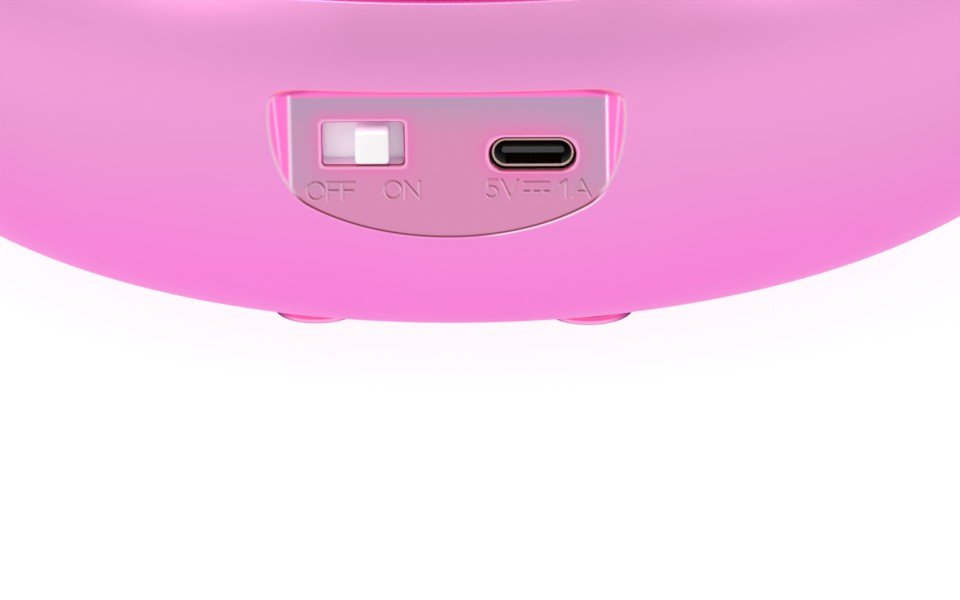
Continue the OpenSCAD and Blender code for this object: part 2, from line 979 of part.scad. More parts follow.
module switch_housing() {
    low_z = board_top;
    slot_w = stem_w + switch_travel + 0.6;
    color([0.75, 0.75, 0.77])
    difference() {
        translate([window_x - switch_w / 2, -switch_y, low_z])
            cube([switch_w, switch_d, switch_h]);
        translate([window_x - switch_w / 2 + switch_sheet, -switch_y + switch_sheet, low_z - 1])
            cube([switch_w - 2 * switch_sheet, switch_d - 2 * switch_sheet,
                switch_h - switch_sheet + 1]);
        translate([window_x - slot_w / 2, -switch_y - 1, window_z - stem_w / 2 - 0.3])
            cube([slot_w, 2, stem_w + 0.6]);
    }
}

module switch_base() {
    color([0.25, 0.16, 0.10])
    translate([window_x - switch_w / 2 + switch_sheet, -switch_y + switch_sheet, board_top])
        cube([switch_w - 2 * switch_sheet, switch_d - 2 * switch_sheet,
            carriage_z - 0.2 - board_top]);
}

module switch_terminals() {
    color([0.80, 0.78, 0.70])
    for (i = [-1, 0, 1])
        translate([window_x + i * 2.5 - 0.35, -switch_y + switch_d, board_top])
            cube([0.7, 1.6, 0.25]);
}

module switch_actuator() {
    carriage_back = switch_y - switch_d + switch_sheet + 0.3;
    carriage_front = switch_y - switch_sheet - 0.2;
    color([0.15, 0.15, 0.16])
    union() {
        translate([knob_x - carriage_w / 2, -carriage_front, carriage_z])
            cube([carriage_w, carriage_front - carriage_back, carriage_h]);
        translate([knob_x - stem_w / 2, -flange_y + flange_t, window_z - stem_w / 2])
            cube([stem_w, flange_y - flange_t - carriage_front + eps, stem_w]);
    }
}

module switch_knob() {
    color([0.97, 0.97, 0.97])
    union() {
        front_extrude(flange_y - flange_t, flange_y)
            translate([knob_x, window_z])
                rounded_rect(flange_w, flange_h, 0.6);
        front_extrude(flange_y - eps, bay_y + knob_out)
            translate([knob_x, window_z])
                rounded_rect(knob_w, knob_h, 0.3);
    }
}

// ---- Battery ----

module battery_cell() {
    color([0.70, 0.72, 0.78])
    translate([0, 0, cell_z])
        linear_extrude(height = cell_t)
            rounded_rect(cell_w, cell_l, 2);
}

module battery_board() {
    color([0.80, 0.55, 0.10])
    translate([-cell_w / 2 + 4, -cell_l / 2 - cell_board_l, cell_z + 3])
        cube([cell_w - 8, cell_board_l, 4]);
}

module battery_pad() {
    color([0.20, 0.20, 0.20])
    translate([0, 0, floor_z])
        linear_extrude(height = cell_pad_t)
            rounded_rect(cell_w - 6, cell_l - 8, 1);
}

module battery_leads() {
    color([0.10, 0.10, 0.10])
    lead_pair(battery_lead_x, battery_lead_route);
}

lower_shell();
base_plate();
foot_pads();
base_screws();
case_screws();
trim_ring();
top_cover();
grille_bezel();
intake_grille();
filter_frame();
filter_media();
filter_seal();
filter_tab();
fan_deck();
deck_gasket();
deck_screws();
fan_frame();
fan_screws();
fan_dampers();
fan_rotor();
fan_shaft();
fan_magnet();
shaft_clip();
fan_stator();
fan_windings();
fan_bearings();
fan_board();
fan_leads();
main_board();
board_screws();
board_chips();
board_passives();
fan_connector();
battery_connector();
usb_shell();
usb_tongue();
usb_contacts();
switch_housing();
switch_base();
switch_terminals();
switch_actuator();
switch_knob();
battery_cell();
battery_board();
battery_pad();
battery_leads();
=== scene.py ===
"""Looks for the nail dust collector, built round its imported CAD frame.

The object's frame: metres, +Z up, -Y is the front with the control bay. Outlines are written in
millimetres and turned into metres by MM when a mesh is made.
"""
import json
import math

import bmesh
import bpy
import numpy as np
from mathutils import Matrix, Vector


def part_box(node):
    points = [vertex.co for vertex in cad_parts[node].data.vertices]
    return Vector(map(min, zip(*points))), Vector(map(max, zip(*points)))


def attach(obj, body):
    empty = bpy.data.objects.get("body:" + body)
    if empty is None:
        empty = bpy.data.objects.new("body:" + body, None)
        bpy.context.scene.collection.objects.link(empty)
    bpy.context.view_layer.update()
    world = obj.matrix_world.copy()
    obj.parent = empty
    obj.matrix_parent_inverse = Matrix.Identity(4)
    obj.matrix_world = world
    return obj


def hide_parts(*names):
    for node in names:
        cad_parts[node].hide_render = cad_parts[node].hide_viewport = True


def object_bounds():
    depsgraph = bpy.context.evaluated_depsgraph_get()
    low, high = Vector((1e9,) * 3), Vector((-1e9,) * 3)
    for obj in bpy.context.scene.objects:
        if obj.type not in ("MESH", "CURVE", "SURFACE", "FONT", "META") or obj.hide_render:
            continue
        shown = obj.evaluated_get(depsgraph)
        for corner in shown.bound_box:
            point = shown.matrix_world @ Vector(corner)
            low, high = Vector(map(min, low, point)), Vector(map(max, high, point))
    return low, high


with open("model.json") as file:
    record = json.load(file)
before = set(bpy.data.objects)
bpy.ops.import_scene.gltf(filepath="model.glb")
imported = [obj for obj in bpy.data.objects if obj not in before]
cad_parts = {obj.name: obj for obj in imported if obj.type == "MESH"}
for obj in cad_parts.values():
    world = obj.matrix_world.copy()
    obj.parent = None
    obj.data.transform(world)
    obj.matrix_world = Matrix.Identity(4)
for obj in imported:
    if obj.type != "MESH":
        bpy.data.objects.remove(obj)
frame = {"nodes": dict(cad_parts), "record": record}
cad_low, cad_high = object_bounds()

MM = 0.001

# ---------------------------------------------------------------- dimensions, in millimetres


def box_mm(node):
    """Lowest and highest corner of a CAD node, in millimetres."""
    low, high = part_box(node)
    return low / MM, high / MM


shell_low, shell_high = box_mm("lower_shell")
CASE_R = (shell_high.x - shell_low.x) / 2
FLOOR_Z = shell_low.z
RIM_Z = shell_high.z
SIDE_R = 33.0
SIDE_CR = CASE_R - SIDE_R
SIDE_CZ = FLOOR_Z + SIDE_R
WALL = 2.2

# The polished control bay
BAY_Y = 76.8
BAY_HALF = 17.0
BAY_TOP = 38.9
BAY_DRAFT = math.radians(7.8)
BAY_FLARE = math.atan2(0.8, 2.45)
BAY_LIP = 0.40
BAY_RUNOUT = 0.22
BAY_CORNER = 1.8
BAY_FOOT = 0.5
BAY_STEP = 0.12
PLATE_Y = BAY_Y - BAY_STEP

# Switch window and USB-C hole, placed by the parts that show in them
housing_low, housing_high = box_mm("switch_housing")
knob_low, knob_high = box_mm("switch_knob")
usb_low, usb_high = box_mm("usb_shell")
WINDOW_AT = ((housing_low.x + housing_high.x) / 2, (knob_low.z + knob_high.z) / 2)
WINDOW_HALF = (4.38, 2.4)
WINDOW_CORNER = 0.45
USB_AT = ((usb_low.x + usb_high.x) / 2, (usb_low.z + usb_high.z) / 2)
USB_GAP = 0.19
USB_HALF = ((usb_high.x - usb_low.x) / 2 + USB_GAP, (usb_high.z - usb_low.z) / 2 + USB_GAP)
HOLE_FILLET = 0.32

# Exhaust slots: angles are measured from the front, towards +X
VENT_GROUPS = (90, 180, 270)
VENT_COUNT = 9
VENT_STEP = 5.0
VENT_Z = 28.0
VENT_HALF = (1.2, 7.5)
VENT_FILLET = 0.45

# Screw holes in the underside
SCREW_RING = 54.0
SCREW_ANGLES = (60, 120, 240, 300)
SCREW_HOLE_R = 3.0
SCREW_FILLET = 0.4
SCREW_WELL = 23.0

# Radius inside which the grille is open
GRILLE_OPEN_R = 45.6

# Blocks of the shell's grid that hold one hole each. On the plate: low x, high x, low z, high z
WINDOW_BLOCK = (-14.6, -3.6, 28.8, 36.0)
SOCKET_BLOCK = (3.4, 15.0, 29.0, 33.8)
VENT_BLOCK_Z = (19.4, 36.6)
VENT_BLOCK_HALF = 2.0
SCREW_BLOCK_HALF = 6
SCREW_BLOCK_R = 4.5


# ---------------------------------------------------------------- mesh helpers

def make_object(name, points, faces, smooth=True):
    """A mesh object from points in millimetres."""
    mesh = bpy.data.meshes.new(name)
    mesh.from_pydata((np.asarray(points, float) * MM).tolist(), [], faces)
    mesh.validate()
    mesh.update()
    if smooth:
        mesh.shade_smooth()
    obj = bpy.data.objects.new(name, mesh)
    bpy.context.scene.collection.objects.link(obj)
    return obj


def write_mask(obj, name, values):
    """Stores one number for each vertex, for a material to read."""
    stored = obj.data.attributes.new(name, "FLOAT", "POINT")
    stored.data.foreach_set("value", np.asarray(values, np.float32))


def arc(centre, radius, start, end, steps):
    """Points on an arc, its angles in degrees; an ellipse's arc if the radius is a pair."""
    across, up = radius if isinstance(radius, tuple) else (radius, radius)
    angles = np.radians(np.linspace(start, end, steps + 1))
    return [(centre[0] + across * math.cos(a), centre[1] + up * math.sin(a)) for a in angles]


def filleted(corners, steps=5):
    """A closed outline from corners (a, b, fillet radius), with each corner rounded."""
    outline = []
    count = len(corners)
    for i in range(count):
        here = np.array(corners[i][:2], float)
        before = np.array(corners[i - 1][:2], float)
        after = np.array(corners[(i + 1) % count][:2], float)
        radius = corners[i][2]
        if radius <= 0:
            outline.append(tuple(here))
            continue
        to_before = (before - here) / np.linalg.norm(before - here)
        to_after = (after - here) / np.linalg.norm(after - here)
        half = math.acos(np.clip(to_before @ to_after, -1, 1)) / 2
        bisector = (to_before + to_after) / np.linalg.norm(to_before + to_after)
        centre = here + bisector * radius / math.sin(half)
        first = here + to_before * radius / math.tan(half) - centre
        last = here + to_after * radius / math.tan(half) - centre
        turn = math.acos(np.clip(first @ last / radius ** 2, -1, 1))
        for k in range(steps + 1):
            t = k / steps
            mixed = (math.sin((1 - t) * turn) * first + math.sin(t * turn) * last) / math.sin(turn)
            outline.append(tuple(centre + mixed))
    return outline


def lathe(outline, segments=192, centre=(0.0, 0.0)):
    """Points and faces of a closed (radius, height) outline turned round the Z axis."""
    outline = np.array(outline, float)
    count = len(outline)
    angles = 2 * math.pi * np.arange(segments) / segments
    points = np.empty((segments, count, 3))
    points[:, :, 0] = centre[0] + np.outer(np.cos(angles), outline[:, 0])
    points[:, :, 1] = centre[1] + np.outer(np.sin(angles), outline[:, 0])
    points[:, :, 2] = outline[:, 1]
    faces = []
    for i in range(segments):
        this, following = i * count, ((i + 1) % segments) * count
        for k in range(count):
            n = (k + 1) % count
            if outline[k, 0] < 1e-6 and outline[n, 0] < 1e-6:
                continue
            faces.append((this + k, following + k, following + n, this + n))
    return points.reshape(-1, 3), faces


def merged(parts):
    """Several (points, faces) as one."""
    points, faces, base = [], [], 0
    for part_points, part_faces in parts:
        points.append(np.asarray(part_points, float))
        faces.extend(tuple(base + i for i in face) for face in part_faces)
        base += len(part_points)
    return np.vstack(points), faces


def weld(obj, distance=0.000005):
    """Joins points that lie on each other and turns all faces outwards."""
    made = bmesh.new()
    made.from_mesh(obj.data)
    bmesh.ops.remove_doubles(made, verts=made.verts, dist=distance)
    bmesh.ops.recalc_face_normals(made, faces=made.faces)
    made.to_mesh(obj.data)
    made.free()


def stops(*spans):
    """Increasing values: each span is (start, end, step), and spans follow on from each other."""
    values = [spans[0][0]]
    for start, end, step in spans:
        count = max(1, round((end - start) / step))
        values.extend(np.linspace(start, end, count + 1)[1:])
    return np.array(values)


def nearest(values, wanted):
    """Index of the value nearest to the one wanted."""
    return int(np.abs(values - wanted).argmin())


# ---------------------------------------------------------------- the lower shell

def side_radius(z):
    """Radius of the case's side at the height z."""
    return SIDE_CR + np.sqrt(np.maximum(SIDE_R ** 2 - (z - SIDE_CZ) ** 2, 0))


def underside_z(r):
    """Height of the case's underside at the radius r."""
    return SIDE_CZ - np.sqrt(np.maximum(SIDE_R ** 2 - (r - SIDE_CR) ** 2, 0))


def round_union(a, b, radius):
    """Union of two distance fields, with a fillet in the corner between them."""
    u = np.maximum(radius - a, 0)
    v = np.maximum(radius - b, 0)
    return np.maximum(radius, np.minimum(a, b)) - np.hypot(u, v)


def round_intersection(a, b, radius):
    """Intersection of two distance fields, with the edge between them rounded."""
    u = np.maximum(radius + a, 0)
    v = np.maximum(radius + b, 0)
    return np.minimum(-radius, np.maximum(a, b)) + np.hypot(u, v)


def bay_fields(r, phi, z):
    """Distances outside the side wall, and outside the bay's surface, at a point of the shell."""
    x, y = r * np.sin(phi), r * np.cos(phi)
    tilt = (side_radius(z) - SIDE_CR) / SIDE_R
    body = (r - side_radius(z)) * tilt
    plate = y - BAY_Y
    side = plate * math.cos(BAY_FLARE) - (np.abs(x) - BAY_HALF) * math.sin(BAY_FLARE)
    ceiling = plate * math.sin(BAY_DRAFT) - (z - BAY_TOP) * math.cos(BAY_DRAFT)
    bay = round_union(round_union(side, ceiling, BAY_CORNER), plate, BAY_FOOT)
    return body, bay


def shell_radius(phi, z):
    """Radius of the shell's outer surface, found by halving between inside and outside."""
    low = np.full(phi.shape, BAY_Y - 8.0)
    low = np.minimum(low, side_radius(z) - 1.0)
    high = side_radius(z) + 1.0
    lip = np.clip((z - BAY_TOP + 2) / 2, 0, 1)
    edge_r = BAY_RUNOUT + (BAY_LIP - BAY_RUNOUT) * lip
    for _ in range(44):
        middle = (low + high) / 2
        body, bay = bay_fields(middle, phi, z)
        outside = round_intersection(body, bay, edge_r) > 0
        high = np.where(outside, middle, high)
        low = np.where(outside, low, middle)
    return (low + high) / 2


# Relief marks beside the switch and the socket, as strokes in a box one cap height tall

GLYPHS = {
    "O": (0.74, [arc((0.37, 0.5), (0.37, 0.5), 0, 360, 28)]),
    "F": (0.56, [[(0.04, 0), (0.04, 1), (0.56, 1)], [(0.04, 0.52), (0.48, 0.52)]]),
    "N": (0.70, [[(0.03, 0), (0.03, 1), (0.67, 0), (0.67, 1)]]),
    "5": (0.48, [[(0.44, 1), (0.10, 1), (0.05, 0.54)]
                 + arc((0.22, 0.32), (0.25, 0.32), 130, -140, 14)]),
    "V": (0.80, [[(0.02, 1), (0.37, 0), (0.72, 1)]]),
    "1": (0.46, [[(0.12, 0.78), (0.38, 1), (0.38, 0)]]),
    "A": (0.82, [[(0.02, 0), (0.41, 1), (0.80, 0)], [(0.16, 0.34), (0.66, 0.34)]]),
    "=": (1.31, [[(0.02, 0.86), (1.10, 0.86)], [(0.02, 0.34), (0.22, 0.34)],
                 [(0.46, 0.34), (0.66, 0.34)], [(0.90, 0.34), (1.10, 0.34)]]),
}
MARK_HEIGHT = 1.98
MARK_STRETCH = 1.24
MARK_STROKE = 0.06
MARK_EDGE = 0.12
MARK_RELIEF = 0.11
MARKS = (("OFF", -12.64, 26.18, 0.26), ("ON", -4.90, 26.28, 0.32), ("5V=1A", 9.81, 26.40, 0.44))


def mark_strokes():
    """Every stroke of the marks, as pairs of end points on the plate."""
    segments = []
    x_scale = MARK_HEIGHT * MARK_STRETCH
    for text, centre_x, base_z, gap in MARKS:
        widths = [GLYPHS[c][0] * x_scale for c in text]
        at = centre_x - (sum(widths) + gap * (len(text) - 1)) / 2
        for c, width in zip(text, widths):
            for line in GLYPHS[c][1]:
                placed = [(at + x * x_scale, base_z + z * MARK_HEIGHT) for x, z in line]
                segments.extend(zip(placed[:-1], placed[1:]))
            at += width + gap
    return segments


def mark_relief(x, z):
    """Height of the marks above the plate at the points x, z."""
    distance = np.full(x.shape, 9.0)
    for (ax, az), (bx, bz) in mark_strokes():
        near = (np.minimum(ax, bx) - 1 < x) & (x < np.maximum(ax, bx) + 1)
        near &= (np.minimum(az, bz) - 1 < z) & (z < np.maximum(az, bz) + 1)
        px, pz = x[near] - ax, z[near] - az
        length = (bx - ax) ** 2 + (bz - az) ** 2
        t = np.clip((px * (bx - ax) + pz * (bz - az)) / length, 0, 1)
        gap = np.hypot(px - t * (bx - ax), pz - t * (bz - az))
        distance[near] = np.minimum(distance[near], gap)
    rise = np.clip((MARK_STROKE + MARK_EDGE - distance) / MARK_EDGE, 0, 1)
    return MARK_RELIEF * rise * rise * (3 - 2 * rise)


def shell_columns():
    """The grid's columns, by angle from the front: fine in the bay and round each hole."""
    window_l, window_r = WINDOW_BLOCK[:2]
    socket_l, socket_r = SOCKET_BLOCK[:2]
    plate_x = stops((-22, -20.2, 0.3), (-20.2, -16.4, 0.09), (-16.4, window_l, 0.08),
                    (window_l, window_r, 0.075), (window_r, -2.2, 0.08), (-2.2, socket_l, 0.25),
                    (socket_l, socket_r, 0.075), (socket_r, 16.4, 0.08), (16.4, 20.2, 0.09),
                    (20.2, 22, 0.3))
    front = np.degrees(np.arctan(plate_x / BAY_Y))
    edge = front[-1]
    spans = [(edge, 54, 1.4), (54, 66, 0.8)]
    for group in VENT_GROUPS:
        start = group - (VENT_COUNT - 1) / 2 * VENT_STEP
        spans.append((spans[-1][1], start - VENT_BLOCK_HALF, 1.4))
        for i in range(VENT_COUNT):
            slot = start + i * VENT_STEP
            spans.append((slot - VENT_BLOCK_HALF, slot + VENT_BLOCK_HALF, 0.4))
            if i < VENT_COUNT - 1:
                spans.append((slot + VENT_BLOCK_HALF, slot + VENT_STEP - VENT_BLOCK_HALF, 0.5))
        end = start + (VENT_COUNT - 1) * VENT_STEP + VENT_BLOCK_HALF
        for screw in SCREW_ANGLES:
            if end < screw - SCREW_BLOCK_HALF < end + VENT_STEP * 10:
                spans.append((end, screw - SCREW_BLOCK_HALF, 1.4))
                spans.append((screw - SCREW_BLOCK_HALF, screw + SCREW_BLOCK_HALF, 0.8))
                end = screw + SCREW_BLOCK_HALF
                break
    spans.append((spans[-1][1], 360 - edge, 1.4))
    rest = stops(*spans)
    return np.radians(np.concatenate([front, rest[1:-1]]))


def shell_rows():
    """The grid's rows, as heights from the rim down: fine along the bay's lower edge and lip."""
    vent_b, vent_t = VENT_BLOCK_Z
    window_b, window_t = WINDOW_BLOCK[2:]
    socket_b, socket_t = SOCKET_BLOCK[2:]
    upper = stops((vent_b, 21.2, 0.25), (21.2, 25.8, 0.1), (25.8, window_b, 0.075),
                  (window_b, socket_b, 0.2), (socket_b, socket_t, 0.3), (socket_t, window_t, 0.3),
                  (window_t, vent_t, 0.3), (vent_t, 38.4, 0.2),
                  (38.4, 39.8, 0.045), (39.8, 40.4, 0.12), (40.4, RIM_Z - 0.8, 0.7),
                  (RIM_Z - 0.8, RIM_Z - 0.2, 0.1))
    start = math.degrees(math.asin((SIDE_CZ - upper[0]) / SIDE_R))
    lower_angles = stops((start, 68, 2.0), (68, 87, 1.0), (87, 90, 1.5))[1:]
    lower = SIDE_CZ - SIDE_R * np.sin(np.radians(lower_angles))
    return np.concatenate([upper[::-1], lower])


def hole_patch(vertex, columns, rows, block, half, corner, to_local, surface, depth, fillet):
    """A hole with a rounded edge in one block of the grid.

    block is (first column, last column, first row, last row). to_local gives a grid point's
    (u, v) about the hole's centre, and surface(u, v, depth) the point that far below the skin.
    """
    c0, c1, r0, r1 = block
    count = len(columns)
    ring = [(c, r0) for c in range(c0, c1)] + [(c1, r) for r in range(r0, r1)]
    ring += [(c, r1) for c in range(c1, c0, -1)] + [(c0, r) for r in range(r1, r0, -1)]
    outer_ids = [vertex(c % count, r) for c, r in ring]
    uv = np.array([to_local(columns[c % count], rows[r]) for c, r in ring])
    reach = np.abs(uv).max(axis=0)
    scaled = uv / reach * np.array(half)
    inner = np.array([half[0] - corner, half[1] - corner])
    core = np.clip(scaled, -inner, inner)
    away = scaled - core
    away /= np.maximum(np.linalg.norm(away, axis=1), 1e-9)[:, None]
    levels = []
    for t in (0.35, 0.7):
        mixed = uv * (1 - t) + (core + away * (corner + fillet)) * t
        levels.append((mixed, 0.0))
    for angle in np.radians(np.linspace(0, 90, 6)):
        offset = fillet * (1 - math.sin(angle))
        levels.append((core + away * (corner + offset), fillet * (1 - math.cos(angle))))
    for share in (0.5, 1.0):
        levels.append((core + away * corner, fillet + (depth - fillet) * share))
    return outer_ids, [[surface(u, v, d) for u, v in uvs] for uvs, d in levels]


def smooth(value, low, high):
    """0 below low, 1 above high, and an S-curve between."""
    t = np.clip((value - low) / (high - low), 0, 1)
    return t * t * (3 - 2 * t)


def bump_at(value, centre, width):
    """A bell curve that is 1 at its centre."""
    return np.exp(-((value - centre) / width) ** 2)


def opening_distance(x, z, at, half, corner):
    """Distance on the plate from a round-cornered opening; negative inside it."""
    u = np.abs(x - at[0]) - (half[0] - corner)
    v = np.abs(z - at[1]) - (half[1] - corner)
    return np.hypot(np.maximum(u, 0), np.maximum(v, 0)) + np.minimum(np.maximum(u, v), 0) - corner


def bay_masks(phi, z, radius, near_bay, inside):
    """Where the bay is polished, and where highlights and dark lines are painted on, 0 to 1."""
    x = radius * np.sin(phi)
    across = np.abs(x)
    at_lip = smooth(z, BAY_TOP - 1.0, BAY_TOP - 0.5)
    polish = np.where(near_bay, smooth(inside, -0.02 - 0.25 * at_lip, 0.05 - 0.25 * at_lip), 0)
    # Painted reflection: hot pink on the bay's side walls and along its top.
    wall = polish * np.maximum(smooth(across, BAY_HALF - 0.1, BAY_HALF + 0.25),
                               smooth(z, BAY_TOP - 1.0, BAY_TOP - 0.85))
    low_fade = smooth(z, 26.0, 28.0)
    # Painted highlights: white stripes at the bay's upright corners and a fainter streak on its flared
    # walls.
    upright = polish * low_fade * (1 - smooth(z, BAY_TOP - 0.7, BAY_TOP - 0.3))
    corner = BAY_HALF + np.where(x > 0, 0.30, -0.02)
    stripe = upright * bump_at(across, corner, np.where(x > 0, 0.15, 0.18))
    stripe *= np.where(x > 0, 0.85, 0.55)
    streak = upright * bump_at(across, BAY_HALF + 0.75 + 0.08 * (z - 27), 0.14)
    streak *= 0.35 * smooth(z, 28.5, 32.0)
    # Painted reflection: the plate turns from mauve to rose lower down and towards the middle.
    rose_reflection = smooth(BAY_TOP - z, 0.5, 6.0) * (1 - 0.6 * smooth(across, 8.0, 16.5))
    rose_reflection = np.maximum(rose_reflection, smooth(30 - z, 0, 4))
    # Painted reflection: a pink glow round the window and the socket, fading out from their edges.
    gap = np.minimum(opening_distance(x, z, WINDOW_AT, WINDOW_HALF, WINDOW_CORNER),
                     opening_distance(x, z, USB_AT, USB_HALF, USB_HALF[1]))
    halo = polish * np.exp(-np.maximum(gap - HOLE_FILLET, 0) / 0.7) * 0.7
    # Painted lines along the bay's edge: a dark line along the low run-out with a white glint beside it,
    # strongest on the right, a pale line up the sides and a coral line at the lip.
    run_out = 1 - smooth(z, 25.6, 27.6)
    line = np.where(near_bay, bump_at(inside, 0.09, 0.10), 0)
    glint = np.where(near_bay, bump_at(inside, -0.10, 0.10), 0) * run_out
    glint *= 0.15 + 0.85 * smooth(x, 3.0, 6.0)
    lip = smooth(z, BAY_TOP - 0.7, BAY_TOP - 0.1)
    coral = np.where(near_bay, bump_at(inside, -0.12, 0.16), 0) * lip
    return {"polish": polish, "wall": wall, "stripe": np.maximum(np.maximum(stripe, streak), glint),
            "rose_reflection": rose_reflection, "halo": halo, "dark_line": line * run_out,
            "pale_line": line * (1 - run_out) * (1 - lip), "coral_line": coral, "lip": at_lip}


def shade_relief(masks, x, z, height, on_plate):
    """Adds the light left edge and dark top edge of each raised mark to the masks."""
    slope_x = np.gradient(height, axis=1) / np.gradient(x, axis=1)
    slope_z = np.gradient(height, axis=0) / np.gradient(z, axis=0)
    masks["dark_line"] += np.where(on_plate, np.clip(-slope_z, 0, 1) * 0.75, 0)
    masks["dark_line"] += np.where(on_plate, np.clip(-slope_x, 0, 1) * 0.28, 0)
    masks["stripe"] += np.where(on_plate, np.clip(slope_x, 0, 1) * 0.30, 0)
    masks["stripe"] += np.where(on_plate, np.clip(slope_z, 0, 1) * 0.15, 0)


def plate_hole(at):
    """The two maps that hole_patch needs, for a hole in the bay's plate."""
    def to_local(angle, height_mm):
        return PLATE_Y * math.tan(angle) - at[0], height_mm - at[1]

    def surface(u, v, depth):
        return at[0] + u, depth - PLATE_Y, at[1] + v
    return to_local, surface


def vent_hole(centre):
    """The same for an exhaust slot in the side wall."""
    def to_local(angle, height_mm):
        return (angle - centre) * CASE_R, height_mm - VENT_Z

    def surface(u, v, depth):
        angle, height_mm = centre + u / CASE_R, VENT_Z + v
        r = float(side_radius(height_mm)) - depth
        return r * math.sin(angle), -r * math.cos(angle), height_mm
    return to_local, surface


def screw_hole(centre):
    """The same for a screw hole in the underside."""
    at = np.array([SCREW_RING * math.sin(centre), -SCREW_RING * math.cos(centre)])
    out = at / SCREW_RING
    across = np.array([math.cos(centre), math.sin(centre)])

    def to_local(angle, height_mm):
        r = float(side_radius(height_mm))
        place = np.array([r * math.sin(angle), -r * math.cos(angle)]) - at
        return place @ across, place @ out

    def surface(u, v, depth):
        place = at + u * across + v * out
        return place[0], place[1], float(underside_z(np.hypot(*place))) + depth
    return to_local, surface


def shell_holes(columns, rows):
    """Every hole: its block of the grid, half size, corner radius, maps, depth and fillet."""
    def block(left, right, low, high):
        return nearest(columns, left), nearest(columns, right), nearest(rows, high), nearest(rows, low)

    def plate_block(left, right, low, high):
        return block(math.atan(left / BAY_Y), math.atan(right / BAY_Y), low, high)

    holes = [(plate_block(*WINDOW_BLOCK), WINDOW_HALF, WINDOW_CORNER, *plate_hole(WINDOW_AT),
              WALL, HOLE_FILLET),
             (plate_block(*SOCKET_BLOCK), USB_HALF, min(USB_HALF), *plate_hole(USB_AT),
              WALL, HOLE_FILLET)]
    for group in VENT_GROUPS:
        for i in range(VENT_COUNT):
            degrees = group + (i - (VENT_COUNT - 1) / 2) * VENT_STEP
            edges = (math.radians(degrees - VENT_BLOCK_HALF), math.radians(degrees + VENT_BLOCK_HALF))
            holes.append((block(*edges, *VENT_BLOCK_Z), VENT_HALF, VENT_HALF[0],
                          *vent_hole(math.radians(degrees)), WALL, VENT_FILLET))
    screw_z = [float(underside_z(SCREW_RING + side * SCREW_BLOCK_R)) for side in (-1, 1)]
    for degrees in SCREW_ANGLES:
        edges = (math.radians(degrees - SCREW_BLOCK_HALF), math.radians(degrees + SCREW_BLOCK_HALF))
        holes.append((block(*edges, *screw_z), (SCREW_HOLE_R, SCREW_HOLE_R), SCREW_HOLE_R,
                      *screw_hole(math.radians(degrees)), SCREW_WELL, SCREW_FILLET))
    return holes


